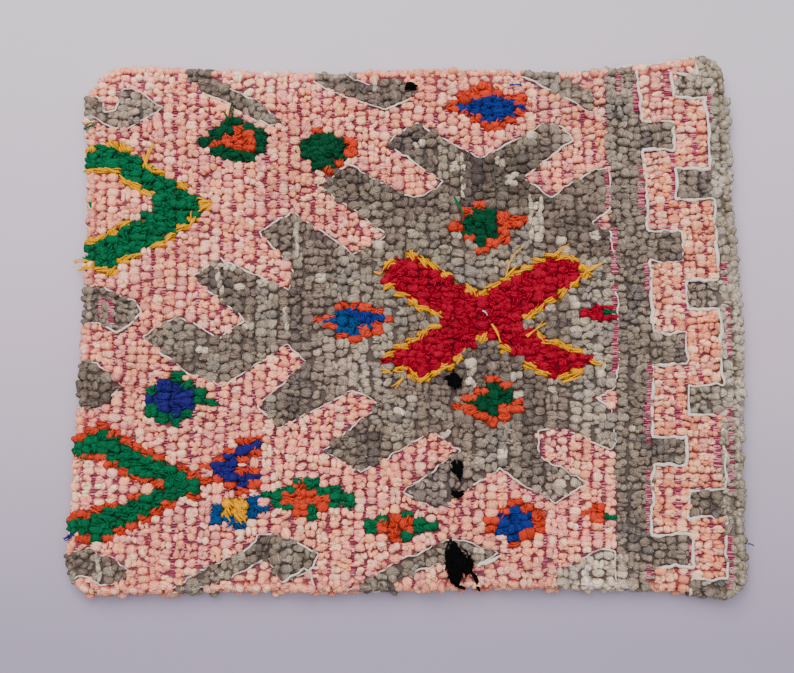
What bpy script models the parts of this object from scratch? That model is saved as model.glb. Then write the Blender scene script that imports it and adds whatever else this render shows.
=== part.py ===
"""A small Moroccan knotted-pile rug, lying flat with its edges turned under.

Frame: metres, +Z up, the pile upwards. The columns of knots run along Y, X runs across them,
and the origin is the middle of the flat underside.
"""

import math
import random

import bmesh
import bpy
from mathutils import Vector, noise
from mathutils.bvhtree import BVHTree

# The laid piece
WIDTH = 0.664
LENGTH = 0.534
PILE_TOP = 0.026

# The columns of knots, which stand up as ribs
COLUMNS = 57
RIB_DEPTH = 0.0034
COLUMN_WANDER = 0.0007
ROWS = 19
LUMP_SIZE = 0.035
LUMP_HEIGHT = 0.0011
KNOT_ROUGHNESS = 0.0005

# The turned edge: the pile sinks towards it, and it bulges from knot to knot
EDGE_BAND = 0.024
EDGE_DROP = 0.0022
RIM_INSET = 0.0085
RIM_KNOTS_PER_ROW = 3
RIM_BULGE = 0.0014
RIM_PROFILE = (
    # outwards from the last row of the pile's face, height, share of the knots' bulge
    (0.0048, 0.0202, 0.7),
    (0.0085, 0.0128, 1.0),
    (0.0072, 0.0046, 0.6),
    (0.0045, 0.0, 0.0),
)

# How far each edge lies outside the plain rectangle, at even steps along it
LEFT_EDGE = (0.006, 0.000, -0.005, -0.008, -0.007, -0.001)
RIGHT_EDGE = (0.005, 0.004, 0.008, 0.006, 0.000, -0.001)
BOTTOM_EDGE = (0.007, 0.005, 0.002, 0.003, 0.002, -0.001, 0.000, 0.001, 0.011)
TOP_EDGE = (0.000, -0.001, -0.006, -0.008, -0.004, -0.003, -0.006, 0.001, 0.012)
CORNER_RADII = {
    # (right, top): radius in plan
    (False, False): 0.030,
    (False, True): 0.040,
    (True, False): 0.016,
    (True, True): 0.022,
}

# The black mending tufts sewn over worn knots
TUFT_GAP = 0.0003
TUFT_SIDES = 22
TUFT_TIERS = 10
TUFT_ROUGHNESS = 0.06
SEAT_STEPS = 24
TUFTS = (
    # name, x, y, length, width, height, turn in degrees, points, how far they stand out
    ("mend_star", 0.048, -0.057, 0.018, 0.018, 0.0055, 8, 5, 0.30),
    ("mend_patch", 0.049, -0.146, 0.022, 0.013, 0.0050, 4, 3, 0.12),
    ("mend_bit", 0.049, -0.170, 0.008, 0.014, 0.0040, -6, 2, 0.15),
    ("mend_tuft", 0.051, -0.239, 0.042, 0.024, 0.0070, 3, 4, 0.16),
    ("mend_top_bit", 0.004, 0.240, 0.008, 0.015, 0.0040, 5, 3, 0.15),
)


def clear_scene():
    for old in list(bpy.data.objects):
        bpy.data.objects.remove(old, do_unlink=True)


def make_material(name, colour, roughness):
    material = bpy.data.materials.new(name)
    material.use_nodes = True
    shader = material.node_tree.nodes["Principled BSDF"]
    shader.inputs["Base Color"].default_value = (*colour, 1.0)
    shader.inputs["Roughness"].default_value = roughness
    shader.inputs["Metallic"].default_value = 0.0
    return material


def add_object(name, bm, material, collection):
    mesh = bpy.data.meshes.new(name)
    bm.to_mesh(mesh)
    mesh.materials.append(material)
    piece = bpy.data.objects.new(name, mesh)
    collection.objects.link(piece)
    return piece


def along_edge(steps, share):
    """The edge's smooth offset at a share of its length, through its even steps."""
    place = share * (len(steps) - 1)
    first = min(int(place), len(steps) - 2)
    blend = place - first
    blend = blend * blend * (3 - 2 * blend)
    return steps[first] * (1 - blend) + steps[first + 1] * blend


def rounded_corner(x, y, half_x, half_y):
    """Moves a point of the rectangle's corner squares onto the rounded corner."""
    radius = CORNER_RADII[(x > 0, y > 0)]
    past_x = abs(x) - (half_x - radius)
    past_y = abs(y) - (half_y - radius)
    if past_x <= 0 or past_y <= 0:
        return x, y
    pull = max(past_x, past_y) / math.hypot(past_x, past_y)
    new_x = half_x - radius + past_x * pull
    new_y = half_y - radius + past_y * pull
    return math.copysign(new_x, x), math.copysign(new_y, y)


def laid_place(u, v):
    """Where a point of the flat grid lies in plan. u and v run from 0 to 1."""
    half_x = WIDTH / 2 - RIM_INSET
    half_y = LENGTH / 2 - RIM_INSET
    x, y = rounded_corner((2 * u - 1) * half_x, (2 * v - 1) * half_y, half_x, half_y)
    x += u * along_edge(RIGHT_EDGE, v) - (1 - u) * along_edge(LEFT_EDGE, v)
    y += v * along_edge(TOP_EDGE, u) - (1 - v) * along_edge(BOTTOM_EDGE, u)
    return x, y


def pile_height(x, y, u, v, on_rib):
    lumps = noise.noise(Vector((x, y, 0.0)) / LUMP_SIZE) * LUMP_HEIGHT
    to_edge = min(u * WIDTH, (1 - u) * WIDTH, v * LENGTH, (1 - v) * LENGTH)
    near_edge = max(0.0, 1 - to_edge / EDGE_BAND)
    height = PILE_TOP + lumps - EDGE_DROP * near_edge**2
    return height if on_rib else height - RIB_DEPTH


def shape_pile(bm, seeded):
    """Lays the flat grid out in plan and raises its columns of knots."""
    for point in bm.verts:
        u = (point.co.x + 1) / 2
        v = (point.co.y + 1) / 2
        step = round(u * 2 * COLUMNS)
        x, y = laid_place(u, v)
        if 0 < step < 2 * COLUMNS:
            x += noise.noise(Vector((step // 2 * 0.7, y / LUMP_SIZE, 3.0))) * COLUMN_WANDER
        height = pile_height(x, y, u, v, step % 2 == 1)
        point.co = (x, y, height + seeded.uniform(-1, 1) * KNOT_ROUGHNESS)


def ordered_rim(bm):
    """The points of the open edge, in order, anticlockwise seen from above."""
    edge = next(e for e in bm.edges if e.is_boundary)
    start = edge.verts[0]
    rim = [start]
    point = edge.other_vert(start)
    while point is not start:
        rim.append(point)
        edge = next(e for e in point.link_edges if e.is_boundary and e is not edge)
        point = edge.other_vert(point)
    turning = sum(a.co.x * b.co.y - b.co.x * a.co.y for a, b in zip(rim, rim[1:] + rim[:1]))
    return rim if turning > 0 else rim[::-1]


def rim_ways(rim):
    """The direction straight outwards at each point of the rim, in plan."""
    ways = []
    for before, after in zip(rim[-2:] + rim[:-2], rim[2:] + rim[:2]):
        along = after.co - before.co
        ways.append(Vector((along.y, -along.x, 0.0)).normalized())
    return ways


def turn_edge(bm, seeded):
    """Carries the open edge outwards and down to the floor, knot by knot, and closes it."""
    rim = ordered_rim(bm)
    ways = rim_ways(rim)
    inner = [point.co.copy() for point in rim]
    bulges = [RIM_BULGE * (i % 2 - 0.5) * seeded.uniform(0.6, 1.4) for i in range(len(rim))]
    for outwards, height, share in RIM_PROFILE:
        edges = [bm.edges.get((a, b)) for a, b in zip(rim, rim[1:] + rim[:1])]
        made = bmesh.ops.extrude_edge_only(bm, edges=edges)["geom"]
        new_points = {g for g in made if isinstance(g, bmesh.types.BMVert)}
        rim = [next(e.other_vert(p) for e in p.link_edges if e.other_vert(p) in new_points) for p in rim]
        for point, place, way, bulge in zip(rim, inner, ways, bulges):
            point.co = place + way * (outwards + bulge * share)
            point.co.z = height
    bm.faces.new(rim)


def centre_in_plan(bm):
    """Puts the middle of the rug's plan at the origin."""
    across = [point.co.x for point in bm.verts]
    along = [point.co.y for point in bm.verts]
    middle = Vector((max(across) + min(across), max(along) + min(along), 0.0)) / 2
    bmesh.ops.translate(bm, verts=bm.verts, vec=-middle)


def make_rug(material, collection):
    seeded = random.Random(11)
    bm = bmesh.new()
    bmesh.ops.create_grid(bm, x_segments=2 * COLUMNS, y_segments=ROWS, size=1.0)
    sides = [e for e in bm.edges if e.is_boundary and abs(e.verts[0].co.y - e.verts[1].co.y) > 1e-4]
    bmesh.ops.subdivide_edges(bm, edges=sides, cuts=2 * RIM_KNOTS_PER_ROW - 1)
    shape_pile(bm, seeded)
    turn_edge(bm, seeded)
    centre_in_plan(bm)
    bmesh.ops.recalc_face_normals(bm, faces=bm.faces)
    tree = BVHTree.FromBMesh(bm)
    rug = add_object("rug", bm, material, collection)
    bm.free()
    return rug, tree


def highest_pile(tree, x, y, half_width, half_length):
    """The rug's highest point under an oval place on it."""
    highest = 0.0
    for i in range(-SEAT_STEPS, SEAT_STEPS + 1):
        for j in range(-SEAT_STEPS, SEAT_STEPS + 1):
            across = i / SEAT_STEPS
            along = j / SEAT_STEPS
            if math.hypot(across, along) <= 1:
                above = Vector((x + across * half_width, y + along * half_length, 1.0))
                hit = tree.ray_cast(above, Vector((0, 0, -1)))[0]
                highest = max(highest, hit.z if hit else 0.0)
    return highest


def make_tuft(tree, row, material, collection):
    """A low lumpy dome of black yarn, flat underneath, seated on the ribs."""
    name, x, y, length, width, height, turn, points, standing = row
    seeded = random.Random(name)
    bm = bmesh.new()
    bmesh.ops.create_uvsphere(bm, u_segments=TUFT_SIDES, v_segments=TUFT_TIERS, radius=1.0)
    for point in bm.verts:
        flat = math.hypot(point.co.x, point.co.y)
        around = math.atan2(point.co.y, point.co.x)
        swell = 1 + standing * math.cos(points * around) * flat
        if flat > 0.01:
            swell += seeded.uniform(-1, 1) * TUFT_ROUGHNESS
        point.co.x *= swell * width / 2
        point.co.y *= swell * length / 2
        point.co.z = max(point.co.z, 0.0) * height * seeded.uniform(0.88, 1.0)
    bmesh.ops.recalc_face_normals(bm, faces=bm.faces)
    tuft = add_object(name, bm, material, collection)
    bm.free()
    swell = (1 + standing + TUFT_ROUGHNESS) / 2
    seat = highest_pile(tree, x, y, width * swell, length * swell)
    tuft.location = (x, y, seat + TUFT_GAP)
    tuft.rotation_euler.z = math.radians(turn)
    return tuft


def main():
    clear_scene()
    collection = bpy.data.collections.new("moroccan_rug")
    bpy.context.scene.collection.children.link(collection)
    wool = make_material("pink_and_grey_wool", (0.52, 0.33, 0.29), 0.95)
    black_wool = make_material("black_mending_wool", (0.02, 0.018, 0.018), 0.9)
    _, tree = make_rug(wool, collection)
    for row in TUFTS:
        make_tuft(tree, row, black_wool, collection)


main()
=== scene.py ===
"""The looks of a small Moroccan knotted-pile rug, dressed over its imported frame.

Places on the rug are in millimetres in its plan: X across the columns of knots, Y along them.
"""

import math

import bpy
import numpy as np
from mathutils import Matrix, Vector
from mathutils.bvhtree import BVHTree
from mathutils.kdtree import KDTree


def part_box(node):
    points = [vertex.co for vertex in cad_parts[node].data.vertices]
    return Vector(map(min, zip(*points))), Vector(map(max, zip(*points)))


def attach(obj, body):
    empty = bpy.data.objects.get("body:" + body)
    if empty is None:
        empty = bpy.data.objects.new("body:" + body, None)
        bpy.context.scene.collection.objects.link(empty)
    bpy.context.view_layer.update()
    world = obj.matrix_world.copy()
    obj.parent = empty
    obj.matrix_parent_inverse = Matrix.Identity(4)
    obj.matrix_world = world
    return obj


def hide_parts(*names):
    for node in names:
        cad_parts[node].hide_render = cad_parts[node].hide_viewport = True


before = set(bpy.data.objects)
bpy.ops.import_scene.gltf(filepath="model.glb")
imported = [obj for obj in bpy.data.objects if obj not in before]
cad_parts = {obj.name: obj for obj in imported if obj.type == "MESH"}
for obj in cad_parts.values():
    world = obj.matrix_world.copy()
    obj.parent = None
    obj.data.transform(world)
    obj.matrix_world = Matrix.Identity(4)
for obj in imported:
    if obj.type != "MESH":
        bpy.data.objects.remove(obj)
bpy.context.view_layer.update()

MM = 0.001
rng = np.random.default_rng(7)

# Yarns, by the number that the pattern gives a place
PINK, SALMON, GREY, BAND, EDGE, GREEN, RED, ORANGE, BLUE, INDIGO, TEAL, YELLOW, BOTTLE = range(13)
PINKS = (PINK, SALMON)
GREYS = (GREY, BAND, EDGE)

# The pile
COLUMNS = 57
COLUMN_PITCH = 11.6
KNOT_STEPS = {PINK: 7.8, SALMON: 7.2, GREY: 8.4, BAND: 8.0, EDGE: 9.5}
DYED_STEP = 7.4
KNOT_HALF_WIDTHS = {PINK: 6.1, SALMON: 6.2, GREY: 6.8, BAND: 6.6, EDGE: 6.8}
DYED_HALF_WIDTH = 6.9
KNOT_HEIGHT = 6.8
COLUMN_INSET = 4.2
SHORTEST_RUN = 3.4
SHORTEST_DYED = 2.0
YARN_GAP = 1.2
DYED_OVERLAP = 0.4
YARN_REACH = 3.9
STRIP_REACH = 8.2
CAP_SHARES = {YELLOW: 0.8, ORANGE: 0.88}
HOLE_REACH = 7.0
HOLE_KNOT_LENGTH = 5.6
HOLE_KNOT_SIZE = 0.72

# The form
GROUND_TOP = 19.4
RIM_HEIGHT = 12.8
CORNER_Y = 215.0
FAR_OUT = 900


def rgb(red, green, blue):
    """A colour of the photo, from 0 to 255, as linear light."""
    share = np.array([red, green, blue]) / 255
    return np.where(share <= 0.04045, share / 12.92, ((share + 0.055) / 1.055) ** 2.4)


def unit(vectors):
    """Vectors, a row each, brought to a length of 1."""
    return vectors / np.linalg.norm(vectors, axis=1, keepdims=True)


def extended(rows, last):
    """Rows of values with one more value at the end of each."""
    column = np.broadcast_to(last, rows.shape[:-1])[..., None].astype(rows.dtype)
    return np.concatenate([rows, column], axis=-1)


# The rug's form, read from its solid
rug_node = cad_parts["rug"]
rug_tree = BVHTree.FromPolygons(
    [v.co for v in rug_node.data.vertices],
    [tuple(p.vertices) for p in rug_node.data.polygons],
)


def cast(start, way):
    """Where a ray from a place in millimetres meets the rug's solid, in millimetres."""
    hit = rug_tree.ray_cast(Vector(start) * MM, Vector(way))[0]
    return None if hit is None else np.array(hit) / MM


def smoothed(values, reach):
    """A closed row of values, each now the mean of those within reach of it."""
    window = np.ones(2 * reach + 1) / (2 * reach + 1)
    padded = np.concatenate([values[-reach:], values, values[:reach]])
    return np.convolve(padded, window, "valid")


def evenly(points, count):
    """A closed line again, with its points evenly spaced."""
    closed = np.vstack([points, points[:1]])
    along = np.concatenate([[0], np.cumsum(np.linalg.norm(np.diff(closed, axis=0), axis=1))])
    at = np.linspace(0, along[-1], count, endpoint=False)
    return np.stack([np.interp(at, along, closed[:, k]) for k in range(2)], axis=1)


def read_outline(count=900):
    """The outermost line of the solid in plan, anticlockwise, without its single knots."""
    angles = np.linspace(0, 2 * math.pi, count, endpoint=False)
    ways = [(math.cos(a), math.sin(a)) for a in angles]
    hits = [cast((FAR_OUT * c, FAR_OUT * s, RIM_HEIGHT), (-c, -s, 0)) for c, s in ways]
    points = evenly(np.array([hit[:2] for hit in hits]), count)
    return np.stack([smoothed(points[:, k], 3) for k in range(2)], axis=1)


OUTLINE = read_outline()
OUTLINE_NEXT = np.roll(OUTLINE, -1, axis=0)


def side_line(sign):
    """How far the rug reaches to one side, as a function of Y."""
    heights = np.arange(-CORNER_Y, CORNER_Y + 1, 5)
    hits = [cast((FAR_OUT * sign, y, RIM_HEIGHT), (-sign, 0, 0))[0] for y in heights]
    reaches = smoothed(np.array(hits), 2)
    return lambda y: np.interp(y, heights[2:-2], reaches[2:-2])


left_side = side_line(-1)
right_side = side_line(1)


def column_x(place, y):
    """The X of a column at a height of the plan. place counts the columns from the left."""
    left = left_side(y)
    return left + (right_side(y) - left) * (place + 0.5) / COLUMNS


def inside_by(x, y):
    """How far a place is inside the outline. Negative outside."""
    p = np.stack([np.asarray(x, float), np.asarray(y, float)], axis=-1)[..., None, :]
    side = OUTLINE_NEXT - OUTLINE
    share = ((p - OUTLINE) * side).sum(-1) / (side**2).sum(-1)
    near = OUTLINE + np.clip(share, 0, 1)[..., None] * side
    far = np.linalg.norm(p - near, axis=-1).min(-1)
    return np.where(inside(OUTLINE, x, y), far, -far)


def read_heights(step=3.0):
    """A grid of the pile's height, ribs' crests joined, over the plan."""
    xs = np.arange(-345, 346, step)
    ys = np.arange(-285, 286, step)
    rows = np.zeros((len(ys), len(xs)))
    for j, y in enumerate(ys):
        for i, x in enumerate(xs):
            hit = cast((x, y, 100), (0, 0, -1))
            rows[j, i] = 0 if hit is None else hit[2]
    crest = np.maximum(np.maximum(np.roll(rows, 1, 1), np.roll(rows, -1, 1)), rows)
    return xs, ys, crest


def inside(shape, x, y):
    """Which places lie inside a closed shape."""
    x = np.asarray(x, float)
    y = np.asarray(y, float)
    shape = np.asarray(shape, float)
    odd = np.zeros(np.broadcast(x, y).shape, bool)
    for (ax, ay), (bx, by) in zip(shape, np.roll(shape, -1, axis=0)):
        if ay != by:
            crosses = (ay > y) != (by > y)
            odd ^= crosses & (x < ax + (y - ay) * (bx - ax) / (by - ay))
    return odd


GRID_X, GRID_Y, GRID_Z = read_heights()


def pile_top(x, y):
    """The height of the pile at places in the plan."""
    x = np.asarray(x, float)
    y = np.asarray(y, float)
    step = GRID_X[1] - GRID_X[0]
    fx = np.clip((x - GRID_X[0]) / step, 0, len(GRID_X) - 1.001)
    fy = np.clip((y - GRID_Y[0]) / step, 0, len(GRID_Y) - 1.001)
    i, j = fx.astype(int), fy.astype(int)
    a, b = fx - i, fy - j
    low = GRID_Z[j, i] * (1 - a) + GRID_Z[j, i + 1] * a
    high = GRID_Z[j + 1, i] * (1 - a) + GRID_Z[j + 1, i + 1] * a
    return low * (1 - b) + high * b


# The grey medallion, arm by arm from the top, round by the left and back up at the right
MEDALLION = (
    # upper left arms: valley above, shoulder, tip, and where the underside meets the body
    ((74, 166), (10, 204), (-22, 182), (39, 141)),
    ((7, 124), (-59, 160), (-90, 138), (-21, 88)),
    ((-54, 68), (-118, 111), (-149, 90), (-113, 51)),
    ((-118, 30), (-188, 64), (-215, 45), (-163, 0)),
    # the point of the medallion, and its lower corner
    ((-187, -17), (-230, 5), (-265, -16), (-217, -53)),
    ((-185, -64), (-165, -55), (-120, -24), (-99, -40)),
    # lower left arms: tip, lower shoulder, and the valley under it
    ((-148, -85), (-128, -108), (-54, -69), (-27, -83)),
    ((-83, -129), (-46, -152), (24, -111), (53, -129)),
    ((-4, -170), (31, -187), (92, -146), (110, -161)),
    # lower right arm, and the pink notch over it
    ((146, -181), (176, -161), (131, -134), (129, -111)),
    ((150, -106), (174, -115), (201, -128), (207, -121)),
    # the upright side with its two small notches, and the upper right arms
    ((203, -90), (188, -78), (207, -66), (212, -19)),
    ((208, 70), (206, 90), (188, 100), (206, 113)),
    ((205, 156), (192, 156), (146, 127), (118, 147)),
    ((169, 185), (156, 201), (141, 203), (110, 185)),
)
# The grey figures that the edges cut off
EDGE_FIGURES = {
    "hook": ((-338, 232), (-324, 234), (-312, 226), (-308, 215), (-298, 216), (-291, 238),
             (-283, 241), (-270, 232), (-249, 219), (-266, 207), (-286, 196), (-303, 200),
             (-320, 208), (-338, 216)),
    "top_band": ((-232, 268), (-214, 262), (-199, 254), (-177, 239), (-154, 227), (-138, 214),
                 (-124, 203), (-139, 201), (-171, 215), (-183, 223), (-206, 234), (-226, 250)),
    "top_figure": ((-104, 262), (-95, 246), (-57, 229), (-21, 215), (2, 228), (12, 240),
                   (-19, 256), (-28, 245), (-47, 245), (-70, 262)),
    "top_right_band": ((120, 262), (150, 256), (188, 238), (197, 220), (190, 214), (155, 232),
                       (110, 258)),
    "left_upper": ((-340, 36), (-310, 36), (-297, 30), (-274, 20), (-267, 8), (-276, -5),
                   (-289, -12), (-309, -3), (-340, -6)),
    "left_lower": ((-340, -38), (-310, -43), (-285, -66), (-303, -86), (-314, -89), (-340, -84)),
    "corner": ((-346, -236), (-333, -229), (-310, -225), (-303, -232), (-290, -234), (-272, -246),
               (-276, -252), (-290, -260), (-300, -261), (-311, -251), (-328, -255), (-346, -250)),
    "bottom_band": ((-236, -270), (-216, -256), (-204, -246), (-171, -232), (-155, -223),
                    (-146, -213), (-133, -210), (-108, -218), (-88, -230), (-92, -243),
                    (-105, -252), (-119, -258), (-129, -251), (-135, -234), (-148, -240),
                    (-163, -249), (-178, -256), (-206, -263)),
    "bottom_wedge": ((-70, -272), (-11, -239), (38, -216), (60, -218), (90, -229), (86, -234),
                     (70, -240), (38, -239), (14, -245), (-20, -266)),
    "bottom_right": ((146, -270), (150, -246), (190, -225), (203, -227), (206, -262), (180, -280)),
}
CROSS = (
    (72, 24), (110, 46), (145, 64), (168, 60), (181, 50), (158, 33), (138, 18), (112, -2),
    (139, -22), (189, -38), (168, -50), (145, -57), (102, -28), (78, -12), (64, -27), (36, -46),
    (11, -60), (4, -48), (-26, -40), (10, -20), (42, 1), (14, 16), (-21, 40), (-24, 53),
    (2, 66), (11, 61), (40, 44),
)
# The small motifs, each part over the ones before it
MOTIF_PARTS = (
    # from the top down: blue, dark green, two blues and dark green again, each in orange
    (ORANGE, ((36, 222), (51, 224), (51, 232), (65, 238), (80, 246), (90, 249), (90, 238), (106, 231),
              (118, 234), (117, 220), (124, 216), (112, 208), (90, 194), (76, 198), (62, 211),
              (53, 213))),
    (BLUE, ((54, 220), (66, 228), (79, 228), (88, 237), (95, 230), (115, 226), (116, 219), (106, 210),
            (91, 204), (76, 205), (77, 213), (63, 212))),
    (ORANGE, ((35, 96), (53, 101), (56, 113), (75, 123), (86, 113), (96, 113), (106, 106), (122, 106),
              (122, 101), (106, 93), (106, 84), (95, 76), (86, 74), (78, 67), (72, 74), (51, 92),
              (40, 91))),
    (BOTTLE, ((60, 104), (76, 118), (84, 114), (87, 105), (95, 102), (95, 86), (85, 82), (84, 74),
              (74, 74), (73, 81), (62, 88))),
    (ORANGE, ((-98, 3), (-74, 6), (-62, 22), (-50, 16), (-38, 17), (-28, 11), (-16, 1), (-27, -4),
              (-28, -14), (-42, -16), (-55, -24), (-72, -13), (-80, -3))),
    (TEAL, ((-87, -3), (-72, 3), (-70, 11), (-63, 13), (-56, 3), (-39, -4), (-50, -10), (-51, -16),
            (-72, -10), (-74, -3))),
    (BLUE, ((-64, 14), (-47, 11), (-37, 8), (-26, 6), (-28, 0), (-39, -4), (-56, 3))),
    (ORANGE, ((48, -86), (62, -77), (67, -68), (78, -67), (82, -53), (92, -61), (110, -66),
              (122, -78), (115, -90), (101, -95), (89, -107), (73, -99), (60, -92))),
    (BOTTLE, ((60, -80), (76, -73), (78, -64), (88, -62), (99, -68), (110, -78), (97, -84),
              (89, -99), (82, -91), (68, -90))),
    # indigo in green at the left, and two small ones at the right
    (GREEN, ((-263, -72), (-240, -60), (-239, -52), (-229, -51), (-218, -60), (-208, -66), (-195, -75),
             (-195, -83), (-206, -83), (-219, -97), (-228, -105), (-240, -105), (-257, -93),
             (-263, -80))),
    (INDIGO, ((-264, -77), (-249, -73), (-242, -59), (-230, -61), (-222, -69), (-208, -75),
              (-210, -81), (-228, -95), (-238, -94), (-253, -85))),
    (ORANGE, ((175, -189), (187, -182), (197, -184), (201, -194), (208, -197), (208, -201),
              (191, -202), (182, -193))),
    (GREEN, ((192, -191), (197, -187), (201, -195), (192, -202), (188, -198))),
    (RED, ((180, 11), (190, 15), (207, 15), (206, 1), (193, 1), (180, 5))),
    (GREEN, ((190, 12), (201, 12), (209, 6), (193, 6))),
    # top left: an orange arch with green about it
    (BOTTLE, ((-213, 188), (-204, 190), (-184, 207), (-173, 208), (-168, 203), (-140, 195), (-139, 188),
             (-146, 174), (-153, 168), (-163, 161), (-174, 163), (-188, 168), (-201, 172), (-206, 180),
             (-213, 179))),
    (ORANGE, ((-200, 180), (-187, 188), (-179, 196), (-169, 206), (-163, 199), (-157, 186),
              (-157, 175), (-166, 172), (-176, 176), (-188, 178))),
    # next to it: green with orange on its lower right
    (ORANGE, ((-96, 197), (-88, 197), (-89, 190), (-64, 182), (-57, 187), (-55, 177), (-46, 175),
              (-56, 169), (-60, 160), (-77, 151), (-85, 148), (-91, 156))),
    (BOTTLE, ((-114, 181), (-112, 173), (-103, 167), (-92, 163), (-91, 156), (-80, 156), (-76, 163),
             (-61, 166), (-57, 174), (-67, 181), (-70, 192), (-78, 187), (-82, 194), (-90, 194),
             (-95, 188), (-105, 185))),
    # bottom left: yellow in blue-green
    (TEAL, ((-194, -184), (-175, -176), (-164, -179), (-152, -173), (-150, -182), (-139, -184),
            (-143, -190), (-155, -196), (-163, -205), (-177, -206), (-174, -199), (-184, -196),
            (-190, -202))),
    (YELLOW, ((-184, -188), (-175, -177), (-167, -175), (-161, -181), (-164, -198), (-173, -195),
              (-182, -193))),
    # the two long motifs at the bottom: orange in green
    (GREEN, ((-141, -171), (-138, -168), (-120, -168), (-113, -161), (-106, -157), (-95, -156),
             (-84, -160), (-82, -168), (-75, -163), (-66, -165), (-56, -174), (-56, -186),
             (-61, -186), (-65, -179), (-72, -184), (-81, -184), (-88, -191), (-94, -197),
             (-102, -198), (-106, -192), (-117, -190), (-120, -184), (-131, -183), (-131, -174),
             (-140, -177))),
    (ORANGE, ((-128, -176), (-118, -171), (-106, -160), (-96, -162), (-98, -169), (-86, -168),
              (-81, -175), (-72, -176), (-81, -181), (-83, -189), (-90, -181), (-97, -181),
              (-99, -189), (-104, -195), (-110, -187), (-113, -181), (-120, -183))),
    (GREEN, ((-42, -196), (-31, -198), (-26, -195), (-13, -192), (-7, -188), (-1, -189), (11, -196),
             (27, -201), (26, -207), (11, -209), (4, -213), (1, -218), (-10, -218), (-15, -210),
             (-26, -209), (-31, -204), (-38, -213))),
    (ORANGE, ((-30, -198), (-19, -198), (-12, -191), (-4, -192), (4, -198), (9, -200), (7, -208),
              (0, -208), (-4, -216), (-12, -220), (-18, -213), (-28, -207))),
    # bottom right: blue in orange
    (ORANGE, ((74, -195), (83, -195), (96, -185), (100, -175), (108, -179), (122, -182), (130, -188),
              (139, -201), (134, -207), (121, -213), (115, -217), (107, -223), (94, -221), (88, -213),
              (75, -205))),
    (BLUE, ((89, -190), (99, -190), (102, -184), (109, -184), (111, -190), (122, -189), (127, -199),
            (119, -205), (111, -205), (109, -216), (101, -221), (99, -214), (95, -213), (91, -205))),
)
UPPER_CHEVRON = (
    (-340, 172), (-322, 174), (-306, 182), (-297, 179), (-277, 170), (-261, 154), (-241, 144),
    (-220, 129), (-203, 118), (-213, 109), (-228, 97), (-246, 83), (-268, 71), (-286, 64),
    (-298, 52), (-308, 54), (-319, 60), (-340, 66), (-322, 78), (-300, 85), (-287, 95),
    (-268, 105), (-258, 115), (-246, 121), (-254, 128), (-271, 138), (-286, 145), (-298, 156),
    (-310, 155), (-340, 158),
)
LOWER_CHEVRON = (
    (-340, -122), (-329, -122), (-314, -114), (-302, -107), (-288, -117), (-258, -135),
    (-242, -140), (-215, -153), (-202, -162), (-206, -170), (-223, -174), (-241, -182),
    (-263, -195), (-280, -204), (-308, -219), (-320, -211), (-344, -204), (-334, -201),
    (-312, -193), (-286, -184), (-273, -179), (-257, -173), (-239, -163), (-248, -158),
    (-274, -152), (-298, -134), (-314, -132), (-340, -133),
)
SMALL_CHEVRON = (
    (-196, -146), (-174, -132), (-151, -118), (-144, -124), (-158, -133), (-172, -142),
    (-163, -152), (-150, -150), (-152, -161), (-161, -168), (-170, -162), (-184, -157),
)

# The border on the right: a grey band, then a pink meander between two rows of grey teeth
BAND_LEFT = 205.0
INNER_LINE = ((-290, 241), (-212, 240), (-119, 243), (-59, 245), (21, 247), (80, 245),
              (126, 241), (206, 240), (290, 233))
OUTER_LINE = ((-290, 312), (-178, 314), (-59, 314), (41, 312), (159, 310), (227, 305),
              (262, 296), (290, 292))
# Teeth of each row: lowest Y, highest Y, and the X of their ends
INNER_TEETH = ((174, 204, 271), (60, 92, 279), (-44, -12, 279), (-143, -115, 276), (-242, -211, 279))
OUTER_TEETH = ((229, 255, 271), (123, 155, 272), (12, 40, 282), (-94, -64, 279), (-195, -167, 277),
               (-290, -254, 279))
# Upright strips where the wefts lie bare: X, lowest Y, highest Y
BARE_STRIPS = (
    (267, 228, 256), (234, 218, 242), (218, 230, 254), (237, 112, 156), (270, 122, 170),
    (204, 115, 157), (308, 205, 231), (209, 50, 94), (208, -50, -10), (209, -6, 36),
    (242, 32, 58), (241, -104, -43), (279, 10, 38), (320, 40, 58), (321, -34, 12),
    (292, -66, -48), (238, -121, -86), (238, -208, -148), (236, -264, -242), (270, -108, -88),
    (268, -190, -146), (307, -144, -92), (320, -170, -86), (317, -262, -214), (280, -246, -222),
    (292, 161, 191), (-306, 8, 22), (-297, -3, 21),
)


def line_at(line, y):
    """The X of a line of the border at each Y."""
    return np.interp(y, [row[0] for row in line], [row[1] for row in line])


def in_teeth(teeth, x, y, sign):
    """Which places lie in a row of teeth that point to the right (sign 1) or to the left (-1)."""
    return np.any([(y > low) & (y < high) & (x * sign < end * sign) for low, high, end in teeth], axis=0)


def medallion():
    """The medallion's corners in one row."""
    return [point for arm in MEDALLION for point in arm]


def outset(shape, by):
    """A shape grown by a distance, corner by corner."""
    shape = np.asarray(shape, float)
    along = np.roll(shape, -1, axis=0) - np.roll(shape, 1, axis=0)
    way = unit(np.stack([along[:, 1], -along[:, 0]], axis=1))
    turning = (shape[:, 0] * np.roll(shape[:, 1], -1) - np.roll(shape[:, 0], -1) * shape[:, 1]).sum()
    return shape + way * by * np.sign(turning)


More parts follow.
